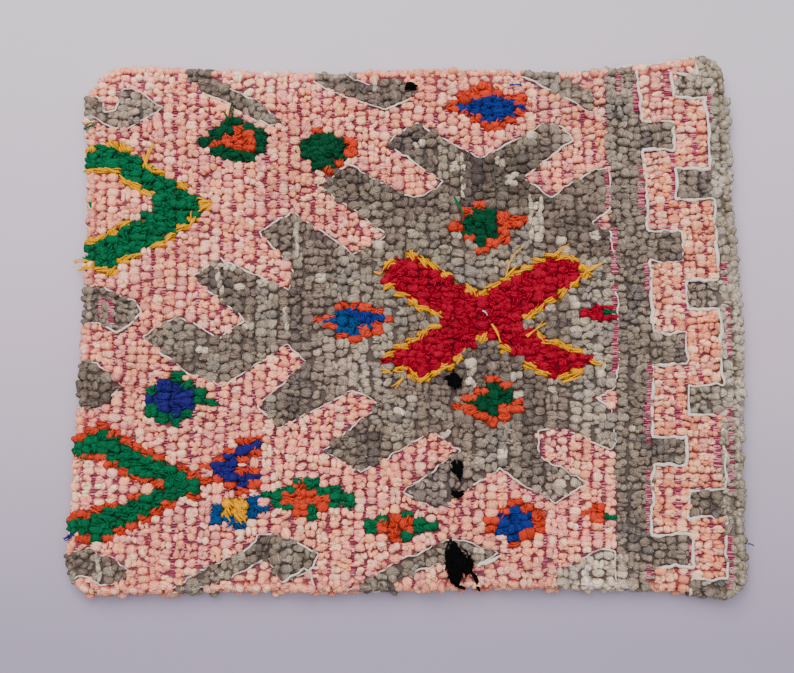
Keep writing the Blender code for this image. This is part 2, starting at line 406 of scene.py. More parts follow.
def pattern(x, y):
    """The yarn at each place of the plan."""
    x = np.asarray(x, float)
    y = np.asarray(y, float)
    found = np.full(x.shape, PINK)
    grey = inside(medallion(), x, y)
    for figure in EDGE_FIGURES.values():
        grey |= inside(figure, x, y)
    found[grey] = GREY
    inner, outer = line_at(INNER_LINE, y), line_at(OUTER_LINE, y)
    found[x > BAND_LEFT] = BAND
    found[(x > inner) & (x < outer)] = SALMON
    found[(x > inner) & in_teeth(INNER_TEETH, x, y, 1)] = BAND
    found[(x < outer) & in_teeth(OUTER_TEETH, x, y, -1)] = BAND
    found[x >= outer] = EDGE
    for shape, border, width, fill in (
        (UPPER_CHEVRON, YELLOW, 4.5, GREEN),
        (LOWER_CHEVRON, ORANGE, 5.5, GREEN),
        (SMALL_CHEVRON, ORANGE, 5, INDIGO),
        (CROSS, YELLOW, 4.5, RED),
    ):
        found[inside(outset(shape, width), x, y)] = border
        found[inside(shape, x, y)] = fill
    for yarn, shape in MOTIF_PARTS:
        found[inside(shape, x, y)] = yarn
    return found


def meander(teeth, line):
    """The outline yarn along one row of the border's teeth, from top to bottom."""
    points = [(line_at(line, 280), 280.0)]
    for low, high, end in teeth:
        points += [(line_at(line, high), high), (end, high), (end, low), (line_at(line, low), low)]
    return points


# Outline yarn that lies over the edge figures
LOOSE_OUTLINES = (
    ((-121, -257), (-110, -250), (-100, -244), (-86, -242)),
    ((-100, -244), (-94, -250), (-92, -265)),
    ((68, -240), (84, -235), (94, -230)),
    ((214, 262), (235, 264), (258, 268), (275, 271), (291, 272)),
)


def outline_yarns():
    """Every run of white outline yarn, and whether it closes."""
    runs = [(medallion(), True)]
    runs += [(list(figure), True) for figure in EDGE_FIGURES.values()]
    runs.append((meander(INNER_TEETH, INNER_LINE), False))
    runs.append((meander(OUTER_TEETH, OUTER_LINE), False))
    runs += [(list(run), False) for run in LOOSE_OUTLINES]
    return runs


def dense(points, closes, step):
    """A line's points again, a step apart, with softened corners."""
    line = np.array(points, float)
    if closes:
        line = np.vstack([line, line[:1]])
    along = np.concatenate([[0], np.cumsum(np.linalg.norm(np.diff(line, axis=0), axis=1))])
    at = np.arange(0, along[-1], step)
    return np.stack([np.interp(at, along, line[:, k]) for k in range(2)], axis=1)


YARN_POINTS = np.vstack([dense(points, closes, 2.0) for points, closes in outline_yarns()])


def noise_1d(x, seed, size):
    """Smooth noise from -1 to 1 along a line of places."""
    seeded = np.random.default_rng(seed)
    steps = seeded.uniform(-1, 1, 4096)
    place = np.asarray(x, float) / size + 2048
    first = np.floor(place).astype(int)
    blend = place - first
    blend = blend * blend * (3 - 2 * blend)
    return steps[first % 4096] * (1 - blend) + steps[(first + 1) % 4096] * blend


def noise_2d(x, y, seed, size):
    """Smooth noise from -1 to 1 over the plan."""
    steps = np.random.default_rng(seed).uniform(-1, 1, (256, 256))
    px, py = np.asarray(x, float) / size + 128, np.asarray(y, float) / size + 128
    i, j = np.floor(px).astype(int), np.floor(py).astype(int)
    a, b = px - i, py - j
    a, b = a * a * (3 - 2 * a), b * b * (3 - 2 * b)
    low = steps[j % 256, i % 256] * (1 - a) + steps[j % 256, (i + 1) % 256] * a
    high = steps[(j + 1) % 256, i % 256] * (1 - a) + steps[(j + 1) % 256, (i + 1) % 256] * a
    return low * (1 - b) + high * b


def add_mesh(name, points, faces, material, **values):
    """A piece from arrays of points in millimetres and of faces, with values for each point."""
    mesh = bpy.data.meshes.new(name)
    corners = faces.shape[1]
    mesh.vertices.add(len(points))
    mesh.vertices.foreach_set("co", (points * MM).astype(np.float32).ravel())
    mesh.loops.add(faces.size)
    mesh.loops.foreach_set("vertex_index", faces.astype(np.int32).ravel())
    mesh.polygons.add(len(faces))
    mesh.polygons.foreach_set("loop_start", np.arange(0, faces.size, corners, dtype=np.int32))
    mesh.update(calc_edges=True)
    mesh.polygons.foreach_set("use_smooth", np.ones(len(faces), bool))
    for key, value in values.items():
        value = np.asarray(value, np.float32)
        if value.ndim == 1:
            mesh.attributes.new(key, "FLOAT", "POINT").data.foreach_set("value", value)
        elif key == "tint":
            value = extended(value, 1)
            mesh.attributes.new(key, "FLOAT_COLOR", "POINT").data.foreach_set("color", value.ravel())
        else:
            mesh.attributes.new(key, "FLOAT_VECTOR", "POINT").data.foreach_set("vector", value.ravel())
    mesh.validate()
    mesh.materials.append(material)
    piece = bpy.data.objects.new(name, mesh)
    bpy.context.scene.collection.objects.link(piece)
    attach(piece, "root")
    return piece


def tubes(paths, radii, sides, side_ways=None):
    """Tubes along paths of one length each. Returns points, faces and (along, around) in mm."""
    count, steps, _ = paths.shape
    along = np.gradient(paths, axis=1)
    along /= np.linalg.norm(along, axis=2, keepdims=True) + 1e-9
    if side_ways is None:
        side_ways = np.cross(along, [0, 0, 1.0])
    else:
        side_ways = np.repeat(side_ways[:, None], steps, axis=1)
    side_ways = side_ways / (np.linalg.norm(side_ways, axis=2, keepdims=True) + 1e-9)
    up = np.cross(side_ways, along)
    turn = np.linspace(0, 2 * math.pi, sides, endpoint=False)
    ring = side_ways[:, :, None] * np.cos(turn)[:, None] + up[:, :, None] * np.sin(turn)[:, None]
    points = paths[:, :, None] + ring * radii[:, :, None, None]
    first = (np.arange(count)[:, None, None] * steps + np.arange(steps - 1)[:, None]) * sides
    a = first + np.arange(sides)
    b = first + (np.arange(sides) + 1) % sides
    faces = np.stack([a, b, b + sides, a + sides], axis=-1).reshape(-1, 4)
    steps_along = np.linalg.norm(np.diff(paths, axis=1), axis=2)
    far = np.concatenate([np.zeros((count, 1)), np.cumsum(steps_along, 1)], 1)
    ply = np.zeros((count, steps, sides, 3))
    ply[..., 0] = far[:, :, None]
    ply[..., 1] = turn / (2 * math.pi)
    ply[..., 2] = rng.uniform(0, 50, (count, 1, 1))
    return points.reshape(-1, 3), faces, ply.reshape(-1, 3)


# A knot of the pile: a dome, whose points lie in tiers below its top one
NUB_SIDES = 10
NUB_TIERS = 4
NUB_LOWEST = math.radians(106)
SQUARENESS = 2.7
# Painted shade: how much darker a knot's colour is in the creases between its lobes
CREASE_SHADE = 0.3


def nub_grid():
    """The directions of a dome's points, its top first, and the dome's faces."""
    tiers = np.linspace(0, NUB_LOWEST, NUB_TIERS + 1)[1:]
    turns = np.linspace(0, 2 * math.pi, NUB_SIDES, endpoint=False)
    ways = [(0.0, 0.0, 1.0)]
    for k, tier in enumerate(tiers):
        for turn in turns + (k % 2) * math.pi / NUB_SIDES:
            ways.append((math.sin(tier) * math.cos(turn), math.sin(tier) * math.sin(turn), math.cos(tier)))
    faces = []
    for i in range(NUB_SIDES):
        j = (i + 1) % NUB_SIDES
        faces.append((0, 1 + i, 1 + j))
    for k in range(NUB_TIERS - 1):
        upper = 1 + k * NUB_SIDES
        lower = upper + NUB_SIDES
        for i in range(NUB_SIDES):
            j = (i + 1) % NUB_SIDES
            if k % 2:
                faces.append((upper + i, lower + j, upper + j))
                faces.append((upper + i, lower + i, lower + j))
            else:
                faces.append((upper + i, lower + i, upper + j))
                faces.append((upper + j, lower + i, lower + j))
    return np.array(ways), np.array(faces)


def nub_kind(ways, seeded):
    """One knot of a few soft lobes, and where the creases between them lie."""
    lobes = seeded.choice([1, 2, 3], p=[0.5, 0.34, 0.16])
    turn = seeded.uniform(0, math.pi)
    reaches = []
    for k in range(lobes):
        out = 0.0 if lobes == 1 else seeded.uniform(0.3, 0.44)
        angle = turn + k * 2 * math.pi / lobes + seeded.uniform(-0.4, 0.4)
        middle = np.array([out * math.cos(angle), out * math.sin(angle), seeded.uniform(-0.12, 0.22)])
        size = seeded.uniform(0.88, 0.98) if lobes == 1 else seeded.uniform(0.56, 0.72)
        dot = ways @ middle
        inner = dot**2 - middle @ middle + size**2
        reaches.append(np.where(inner > 0, dot + np.sqrt(np.maximum(inner, 0)), 0.3))
    reaches = np.sort(np.maximum(reaches, 0.3), axis=0)[::-1]
    reach = (reaches**12).sum(0) ** (1 / 12)
    crease = np.zeros(len(ways)) if lobes == 1 else np.clip((reaches[1] / reaches[0] - 0.82) / 0.18, 0, 1)
    for bump in seeded.normal(0, 1, (6, 3)) * 2.2:
        reach *= 1 + 0.048 * np.sin(ways @ bump * 1.6 + seeded.uniform(0, 6))
    reach *= (np.abs(ways) ** SQUARENESS).sum(1) ** (-1 / SQUARENESS)
    points = ways * reach[:, None]
    points[:, :2] /= (np.abs(points[:, :2]).max(0) * 0.6 + 0.4)
    return extended(points, crease)


def nub_kinds(count):
    """Several kinds of knot, and the faces that they share."""
    seeded = np.random.default_rng(3)
    ways, faces = nub_grid()
    return np.array([nub_kind(ways, seeded) for _ in range(count)]), faces


NUB_KINDS, NUB_FACES = nub_kinds(32)


def frames_of(normals):
    """Two directions across each normal."""
    helper = np.where(np.abs(normals[:, 2:]) > 0.9, [[0.0, 1.0, 0.0]], [[0.0, 0.0, 1.0]])
    first = unit(np.cross(helper, normals))
    return first, np.cross(normals, first)


def add_nubs(name, nubs, material):
    """One piece of many knots. nubs holds arrays: place, normal, half sizes, height, tint."""
    count = len(nubs["place"])
    kinds = NUB_KINDS[rng.integers(0, len(NUB_KINDS), count)]
    turn = rng.choice([0, 0.5, 1, 1.5], count) * math.pi + rng.normal(0, 0.2, count)
    cos, sin = np.cos(turn)[:, None], np.sin(turn)[:, None]
    x = kinds[:, :, 0] * cos - kinds[:, :, 1] * sin
    y = kinds[:, :, 0] * sin + kinds[:, :, 1] * cos
    z = kinds[:, :, 2]
    half_x, half_y, height = (nubs[key][:, None] for key in ("half_x", "half_y", "height"))
    local = np.stack([x * half_x, y * half_y, z * height], 2)
    first, second = frames_of(nubs["normal"])
    points = (
        nubs["place"][:, None]
        + local[:, :, :1] * first[:, None]
        + local[:, :, 1:2] * second[:, None]
        + local[:, :, 2:] * nubs["normal"][:, None]
    )
    size = points.shape[1]
    faces = (NUB_FACES[None] + np.arange(count)[:, None, None] * size).reshape(-1, 3)
    bend = rng.uniform(0, 2 * math.pi, count)
    away = rng.uniform(4, 12, count)
    to_x = local[:, :, 0] - (away * np.cos(bend))[:, None]
    to_y = local[:, :, 1] - (away * np.sin(bend))[:, None]
    across = np.hypot(to_x, to_y)
    along = np.unwrap(np.arctan2(to_y, to_x), axis=1) * away[:, None]
    ply = np.stack([across, along, local[:, :, 2] * 0.5], 2)
    # Painted shade: rise drops in the creases so the root shade reaches there, and the tint darkens there
    # by CREASE_SHADE
    rise = np.clip(z / z.max(axis=1, keepdims=True), 0, 1) * (1 - 0.35 * kinds[:, :, 3])
    tint = nubs["tint"][:, None] * (1 - CREASE_SHADE * kinds[:, :, 3:])
    return add_mesh(
        name, points.reshape(-1, 3), faces, material,
        ply=ply.reshape(-1, 3), rise=rise.ravel(), tint=tint.reshape(-1, 3),
    )


def runs_of(kinds):
    """(first, last + 1, kind) of each run of like yarns in a row."""
    cuts = np.flatnonzero(np.diff(kinds)) + 1
    edges = np.concatenate([[0], cuts, [len(kinds)]])
    return [(a, b, kinds[a]) for a, b in zip(edges[:-1], edges[1:])]


def without_some_caps(kinds):
    """A column's yarns with some of the border's caps given to the yarn outside them."""
    kinds = kinds.copy()
    for a, b, kind in runs_of(kinds):
        if b - a < 30 and rng.random() > CAP_SHARES.get(kind, 1):
            before = kinds[a - 1] if a else PINK
            after = kinds[b] if b < len(kinds) else PINK
            kinds[a:b] = min(before, after)
    return kinds


def lay_knots():
    """Fills every column with knots, as many as fit between one change of yarn and the next."""
    rows = []
    for column in range(COLUMNS):
        ys = np.arange(-300, 300.5, 0.5)
        xs = column_x(column, ys) + noise_1d(ys, 100 + column, 60) * 1.1
        inner = inside_by(xs[::4], ys[::4]) > COLUMN_INSET
        within = np.repeat(inner, 4)[: len(ys)]
        if not within.any():
            continue
        span = np.flatnonzero(within)
        xs, ys = xs[span[0] : span[-1] + 1], ys[span[0] : span[-1] + 1]
        kinds = without_some_caps(pattern(xs, ys))
        for a, b, kind in runs_of(kinds):
            dyed = kind > EDGE
            margin = -DYED_OVERLAP if dyed else YARN_GAP * 0.5
            low, high = ys[a] + margin, ys[b - 1] - margin
            length = high - low
            if length < (SHORTEST_DYED if dyed else SHORTEST_RUN):
                continue
            step = KNOT_STEPS.get(kind, DYED_STEP) * rng.uniform(0.94, 1.06)
            count = max(1, round(length / step))
            marks = low + length * (np.arange(count) + 0.5) / count
            marks += rng.uniform(-0.12, 0.12, count) * length / count
            for y in marks:
                rows.append((np.interp(y, ys, xs), y, length / count, kind, column))
    knots = dict(zip(("x", "y", "length", "kind", "column"), np.array(rows).T))
    knots["kind"] = knots["kind"].astype(int)
    return knots


def push_from_strips(x, y, shrink):
    """Keeps knots off the bare strips of weft."""
    for middle, low, high in BARE_STRIPS:
        gap = x - middle
        near = (np.abs(gap) < STRIP_REACH) & (y > low - 2) & (y < high + 2)
        push = (STRIP_REACH - np.abs(gap)) * 0.62
        x = np.where(near, x + np.sign(gap) * push, x)
        shrink = np.where(near, shrink * (1 - 0.03 * push), shrink)
    return x, shrink


def push_from_yarn(x, y, reach):
    """Moves knots off the outline yarn, and says how much smaller each is for it."""
    gap = np.stack([x, y], 1)[:, None] - YARN_POINTS[None]
    far = np.linalg.norm(gap, axis=2)
    near = far.argmin(1)
    least = far[np.arange(len(x)), near]
    way = gap[np.arange(len(x)), near] / (least[:, None] + 1e-6)
    push = np.clip(reach - least, 0, reach)
    return x + way[:, 0] * push * 0.6, y + way[:, 1] * push * 0.6, 1 - 0.22 * push / reach


PINK_TINTS = np.array([rgb(240, 150, 118), rgb(255, 178, 146), rgb(238, 142, 120), rgb(246, 158, 126),
                       rgb(230, 142, 128), rgb(248, 172, 148), rgb(244, 152, 116)])
SALMON_TINTS = np.array([rgb(242, 148, 110), rgb(255, 176, 138), rgb(236, 140, 108), rgb(250, 180, 148),
                         rgb(232, 150, 130)])
GREY_TINTS = np.array([rgb(106, 92, 86), rgb(120, 105, 94), rgb(132, 113, 101), rgb(141, 122, 107),
                       rgb(150, 134, 118), rgb(166, 149, 130), rgb(146, 133, 123)])
PALE_TINTS = np.array([rgb(180, 163, 143), rgb(192, 175, 154), rgb(168, 151, 132)])
BAND_TINTS = np.array([rgb(114, 103, 96), rgb(136, 119, 105), rgb(151, 134, 118), rgb(162, 147, 130)])
EDGE_TINTS = np.array([rgb(156, 141, 122), rgb(170, 155, 134), rgb(180, 166, 147), rgb(190, 176, 158)])
PINK_SHADE = np.array([1.0, 1.12, 1.12])
GREY_SHADE = 0.75
TINTS = {
    PINK: PINK_TINTS * PINK_SHADE,
    SALMON: SALMON_TINTS * PINK_SHADE,
    GREY: GREY_TINTS * GREY_SHADE,
    BAND: BAND_TINTS * GREY_SHADE,
    EDGE: EDGE_TINTS * GREY_SHADE,
}


def tint_knots(x, y, kind, column):
    """A tint for each knot: near ones are alike, as knots of one length of yarn are."""
    tints = np.zeros((len(x), 3))
    for yarn, choices in TINTS.items():
        mine = np.flatnonzero(kind == yarn)
        if yarn in PINKS:
            drift = noise_2d(column[mine] * 9.0, y[mine] * 0.35, 21 + yarn, 16) * 0.5 + 0.5
            spread = 0.16
        else:
            drift = noise_2d(column[mine] * COLUMN_PITCH, y[mine] * 0.6, 21 + yarn, 26) * 0.5 + 0.5
            spread = 0.1
        drift = np.clip(drift + rng.normal(0, spread, len(mine)), 0, 0.999)
        tints[mine] = choices[(drift * len(choices)).astype(int)]
    tints *= np.where(np.isin(kind, GREYS), mood(GREY_MOODS, x, y), mood(PINK_MOODS, x, y))[:, None]
    pale = pale_share(x, y) * np.isin(kind, GREYS)
    pick = PALE_TINTS[rng.integers(0, len(PALE_TINTS), len(x))]
    tints = np.where((rng.random(len(x)) < pale)[:, None], pick, tints)
    return np.clip(tints * (1 + rng.normal(0, 0.06, (len(x), 1))), 0, 1)


# Where the wool is lighter or darker: middle, reach, how much
GREY_MOODS = (
    (100, 154, 40, 0.5), (-77, -34, 40, 1.6), (-52, -54, 34, 1.4), (177, -94, 40, 1.5),
    (151, -163, 34, 2.0), (189, -253, 40, 2.9), (-279, 220, 30, 2.5), (218, 227, 34, 1.7),
    (290, 238, 30, 1.55), (297, 139, 26, 1.25), (27, -165, 32, 2.1), (-183, -252, 30, 1.3),
    (-311, -64, 30, 0.76), (-106, 77, 30, 1.1), (60, -140, 30, 1.2), (120, 150, 30, 0.75),
    (331, -9, 60, 1.35), (-50, 128, 34, 0.8), (316, 206, 40, 0.85), (148, 185, 30, 1.4),
    (185, 5, 40, 1.25), (10, 77, 34, 0.88), (228, 10, 40, 1.15),
)
PINK_MOODS = (
    (-276, 246, 40, 1.35), (-153, 245, 50, 1.4), (-124, 196, 30, 0.84), (49, 222, 40, 0.93),
    (159, 209, 35, 0.8), (-113, 134, 40, 0.87), (-274, -39, 30, 0.87), (-96, -134, 40, 1.3),
    (160, -224, 50, 1.2), (-298, -168, 40, 1.35), (297, 87, 40, 0.9), (292, -129, 40, 0.93),
    (-169, -214, 40, 1.2), (-51, -200, 40, 1.2), (130, -255, 26, 0.75),
)


def mood(spots, x, y):
    """How light the wool is at places of the plan."""
    level = np.ones(len(x))
    for middle_x, middle_y, reach, factor in spots:
        near = np.exp(-((x - middle_x) ** 2 + (y - middle_y) ** 2) / reach**2)
        level *= factor**near
    return level


# Columns where a pale loop lies along the grey wool: X and Y of its upper and its lower end
PALE_STREAKS = (
    (-112, 100, -111, 64), (-124, 22, -120, -10), (-190, 48, -185, 20), (-305, -232, -300, -256),
    (-33, 256, -31, 236), (125, 128, 126, 84), (135, 126, 136, 84), (57, 170, 57, 126),
)
# Columns where the grey knots run pale: X, lowest and highest Y
PALE_COLUMNS = (
    (108, 128, 182), (153, 60, 122), (146, 150, 170), (-62, -2, 36), (-22, 140, 168), (4, -100, -60),
    (92, 132, 166), (131, 80, 120), (62, -66, -44), (108, -96, -40),
    (146, -62, -30), (60, 152, 180), (170, -30, 40), (188, 40, 96), (188, -60, -10), (160, -250, -232),
)
# Clusters of cream knots: middle and reach
CREAM_SPOTS = (
    (-187, 60, 8), (-176, 56, 6), (-213, 45, 7), (-31, 82, 9), (-33, 99, 6), (-165, -1, 7),
    (-173, 11, 6), (-145, 40, 7), (-258, 4, 7), (-150, 90, 6), (89, -120, 6), (107, -151, 5),
    (75, -227, 5), (200, 60, 7), (196, -40, 8), (172, 186, 8), (97, -131, 8), (103, -138, 8),
    (61, -47, 6), (64, -59, 6), (148, -65, 8), (135, -131, 6),
)


def pale_share(x, y):
    """How likely a grey knot is a pale one."""
    share = np.full(len(x), 0.012)
    for middle, low, high in PALE_COLUMNS:
        share = np.where((np.abs(x - middle) < 6) & (y > low) & (y < high), 0.32, share)
    for middle_x, middle_y, reach in CREAM_SPOTS:
        share = np.where((x - middle_x) ** 2 + (y - middle_y) ** 2 < reach**2, 0.7, share)
    return share


def with_streaks(lumps):
    """The grey lumps with long pale loops over them."""
    added = {key: [] for key in lumps}
    for top_x, top_y, low_x, low_y in PALE_STREAKS:
        count = max(2, round((top_y - low_y) / 7.5))
        share = (np.arange(count) + 0.5) / count
        x = top_x + (low_x - top_x) * share + rng.normal(0, 0.6, count)
        y = top_y + (low_y - top_y) * share
        height = rng.uniform(3.4, 4.4, count)
        lean = rng.normal(0, 0.1, (count, 2))
        pick = PALE_TINTS[rng.integers(0, len(PALE_TINTS), count)]
        streak = {
            "place": np.stack([x, y, pile_top(x, y) + 0.4 - height], 1),
            "normal": unit(extended(lean, 1)),
            "half_x": rng.uniform(2.4, 3.4, count),
            "half_y": rng.uniform(5.0, 7.0, count),
            "height": height,
            "tint": pick * rng.uniform(0.84, 1.0, (count, 1)),
        }
        for key, value in streak.items():
            added[key].append(value)
    return {key: np.concatenate([lumps[key], *added[key]]) for key in lumps}


def crown(x, y, kind, length, shrink, tint):
    """The arrays of knots that stand on the pile, from their places in the plan."""
    count = len(x)
    height = KNOT_HEIGHT * rng.uniform(0.9, 1.08, count)
    lean = rng.normal(0, 0.16, (count, 2))
    half_x = np.array([KNOT_HALF_WIDTHS.get(k, DYED_HALF_WIDTH) for k in kind])
    top = pile_top(x, y) + rng.normal(0, 0.5, count)
    return {
        "place": np.stack([x, y, top - height * 0.94], 1),
        "normal": unit(extended(lean, 1)),
        "half_x": half_x * rng.uniform(0.88, 1.1, count) * shrink,
        "half_y": length * rng.uniform(0.58, 0.7, count) * shrink,
        "height": height,
        "tint": tint,
    }


# How often a knot shows as one, two or three lumps, and a lump's size and place in its knot
LUMP_SHARES = (0.46, 0.38, 0.16)
LUMP_SIZES = (1.0, 0.62, 0.56)
LUMP_OFFSETS = (0.0, 0.45, 0.46)


def in_lumps(nubs):
    """The knots again, about half of them as two or three lumps that stand close together."""
    count = len(nubs["place"])
    lumps = rng.choice([1, 2, 3], count, p=LUMP_SHARES)
    turn = rng.normal(0, 0.55, count)
    parts = {key: [] for key in nubs}
    for total, size, offset in zip((1, 2, 3), LUMP_SIZES, LUMP_OFFSETS):
        mine = lumps == total
        for k in range(total):
            angle = turn[mine] + 2 * math.pi * k / total
            part = {key: value[mine].copy() for key, value in nubs.items()}
            part["place"][:, 0] += np.cos(angle) * offset * part["half_x"]
            part["place"][:, 1] += np.sin(angle) * offset * part["half_y"]
            part["place"][:, 2] += rng.normal(0, 0.5, mine.sum()) * (total > 1)
            wide, long = np.abs(np.cos(angle)), np.abs(np.sin(angle))
            vary = rng.uniform(0.9, 1.12, (2, mine.sum()))
            part["half_x"] *= (1 - (1 - size) * wide) * vary[0]
            part["half_y"] *= (1 - (1 - size) * long) * vary[1]
            part["tint"] = part["tint"] * (1 + rng.normal(0, 0.04, (mine.sum(), 1)))
            for key, value in part.items():
                parts[key].append(value)
    return {key: np.concatenate(value) for key, value in parts.items()}


def holes_between(x, y):
    """Places between the knots that are still bare, with room for a small knot."""
    tree = KDTree(len(x) + 4000)
    for index, place in enumerate(zip(x, y)):
        tree.insert((*place, 0), index)
    tree.balance()
    across, up = np.meshgrid(np.arange(-336, 340, 3.0), np.arange(-276, 280, 3.0))
    spots = np.stack([across.ravel(), up.ravel()], 1)
    spots = spots[inside_by(spots[:, 0], spots[:, 1]) > 7]
    found = []
    for px, py in spots[rng.permutation(len(spots))]:
        if tree.find((px, py, 0))[2] < HOLE_REACH:
            continue
        if all((px - qx) ** 2 + (py - qy) ** 2 > HOLE_REACH**2 for qx, qy in found):
            found.append((px, py))
    return np.array(found)


def build_pile(materials):
    """The pink and the grey pile. Returns its pieces, and all knots, the dyed ones too."""
    knots = lay_knots()
    soft = np.isin(knots["kind"], PINKS + GREYS)
    x, y, kind = knots["x"][soft], knots["y"][soft], knots["kind"][soft]
    length, column = knots["length"][soft], knots["column"][soft]
    x, y, shrink = push_from_yarn(x, y, YARN_REACH)
    x, shrink = push_from_strips(x, y, shrink)
    dyed = knots["kind"] > EDGE
    holes = holes_between(np.append(x, knots["x"][dyed]), np.append(y, knots["y"][dyed]))
    hole_kinds = pattern(holes[:, 0], holes[:, 1])
    holes, hole_kinds = holes[hole_kinds <= EDGE], hole_kinds[hole_kinds <= EDGE]
    extra = len(holes)
    x, y = np.append(x, holes[:, 0]), np.append(y, holes[:, 1])
    kind = np.append(kind, hole_kinds)
    length = np.append(length, np.full(extra, HOLE_KNOT_LENGTH))
    column = np.append(column, holes[:, 0] / COLUMN_PITCH)
    shrink = np.append(shrink, np.full(extra, HOLE_KNOT_SIZE))
    x = x + rng.normal(0, 1, len(x)) * np.where(np.isin(kind, PINKS), 0.4, 0.8)
    nubs = crown(x, y, kind, length, shrink, tint_knots(x, y, kind, column))
    pieces = []
    for name, family, yarns, part in (
        ("pink_pile_left", "pink", PINKS, x < -90),
        ("pink_pile_right", "pink", PINKS, x >= -90),
        ("grey_pile_left", "grey", GREYS, x < 90),
        ("grey_pile_right", "grey", GREYS, x >= 90),
    ):
        mine = np.isin(kind, yarns) & part
        lumps = in_lumps({k: v[mine] for k, v in nubs.items()})
        if name == "grey_pile_left":
            lumps = with_streaks(lumps)
        pieces.append(add_nubs(name, lumps, materials[family]))
    return pieces, knots


# The rolled edge. A knot there takes the yarn of the pattern this far inside the outline.
RIM_LOOK = 9.0
RIM_STEP = 8.6
RIM_ROWS = (
    # inside the outline, height, tilt outwards in degrees
    (7.8, 17.6, 38),
    (5.8, 10.6, 80),
    (6.2, 4.4, 112),
)
# Single knots that hang out at the lower edge
HANGING_LOOK = 12.0
HANGING_INSET = 4
HANGING_STEP = 14.0
HANGING_FROM = -316.0
HANGING_TO = 300.0


def hanging_knots(ways):
    """Places along the lower edge, with their ways outwards, for knots that hang out singly."""
    count = int((HANGING_TO - HANGING_FROM) / HANGING_STEP)
    across = HANGING_FROM + HANGING_STEP * (np.arange(count) + rng.uniform(0.1, 0.9, count))
    low = np.flatnonzero(OUTLINE[:, 1] < -200)
    index = low[np.abs(OUTLINE[low, 0][None] - across[:, None]).argmin(1)]
    way = ways[index]
    return OUTLINE[index] + way * rng.uniform(-1.5, 1.5, count)[:, None], way, index


def outline_ways():
    """The directions outwards along the outline."""
    along = np.roll(OUTLINE, -1, axis=0) - np.roll(OUTLINE, 1, axis=0)
    return unit(np.stack([along[:, 1], -along[:, 0]], axis=1))


def rim_knots(place, stand, normal, kind, widths, lengths, heights):
    """The arrays of knots on the rim. stand holds their places in space, place those in plan."""
    knots = {
        "place": stand,
        "normal": unit(normal),
        "half_x": rng.uniform(*widths, len(place)),
        "half_y": rng.uniform(*lengths, len(place)),
        "height": rng.uniform(*heights, len(place)),
        "kind": kind,
    }
    tint = tint_knots(place[:, 0], place[:, 1], kind, place[:, 0] / COLUMN_PITCH)
    for yarn, shade in YARN_TINTS.items():
        tint[kind == yarn] = shade * DYE_SHADE
    return knots | {"tint": tint}


def build_rim(materials):
    """Knots that carry the pattern round the turned edge and down to the floor."""
    around = np.linalg.norm(OUTLINE_NEXT - OUTLINE, axis=1).sum()
    ways = outline_ways()
    count = round(around / RIM_STEP)
    groups = []
    for row, (inset, level, tilt) in enumerate(RIM_ROWS):
        at = (np.arange(count) + 0.5 * (row % 2) + rng.uniform(-0.2, 0.2, count)) / count
        index = (at * len(OUTLINE)).astype(int) % len(OUTLINE)
        way = ways[index]
        place = OUTLINE[index] - way * inset
        kind = pattern(*(OUTLINE[index] - way * RIM_LOOK).T)
        if row:
            kind = np.where(kind > EDGE, PINK, kind)
        angle = math.radians(tilt) + rng.normal(0, 0.1, count)
        stand = extended(place, level)
        normal = extended(way * np.sin(angle)[:, None], np.cos(angle))
        groups.append(rim_knots(place, stand, normal, kind, (4.4, 6.4), (4.2, 6.2), (4.6, 7.0)))
    place, way, index = hanging_knots(ways)
    kind = pattern(*(OUTLINE[index] - way * HANGING_LOOK).T)
    kind = np.where(kind > EDGE, PINK, kind)
    stand = extended(place - way * HANGING_INSET, rng.uniform(6.0, 11.0, len(way)))
    normal = extended(way, rng.uniform(-0.1, 0.3, len(way)))
    groups.append(rim_knots(place, stand, normal, kind, (4.0, 5.4), (4.0, 5.4), (4.6, 6.4)))
    nubs = {key: np.concatenate([group[key] for group in groups]) for key in groups[0]}
    pieces = []
    for name, yarns, family in (
        ("pink_rim", PINKS, "pink"),
        ("grey_rim", GREYS, "grey"),
        ("dyed_rim", tuple(YARN_TINTS), "dyed"),
    ):
        mine = np.isin(nubs["kind"], yarns)
        pieces.append(add_nubs(name, {k: v[mine] for k, v in nubs.items()}, materials[family]))
    return pieces


# Coloured motifs: each knot is a soft lump under a bundle of thin strands
STRAND_RADIUS = 0.8
STRAND_STEPS = 5
STRAND_SIDES = 5
# How a knot's strands lie: how many, shortest, longest, how far they spread, how they fan out
FILL_STRANDS = (3, 4.5, 7.5, 1.0, 0.3)
LONG_STRANDS = {YELLOW: (5, 9.0, 13.0, 0.7, 0.14), TEAL: (5, 6.5, 9.5, 1.0, 0.3)}


def strand_arcs(x, y, top, angle, length, dive):
    """Short loops that come up out of the pile, run over it and go down again."""
    t = np.linspace(-1, 1, STRAND_STEPS)
    along = np.stack([np.cos(angle), np.sin(angle)], 1)
    across = np.stack([-np.sin(angle), np.cos(angle)], 1)
    bow = rng.normal(0, 0.7, len(x))
    reach = length[:, None] / 2 * np.sin(t * math.pi / 2 * 0.96)
    plan = (
        np.stack([x, y], 1)[:, None]
        + along[:, None] * reach[:, :, None]
        + across[:, None] * (bow[:, None] * (1 - t**2))[:, :, None]
    )
    z = top[:, None] - dive[:, None] * np.abs(t) ** 2.6
    return extended(plan, z), extended(across, 0)


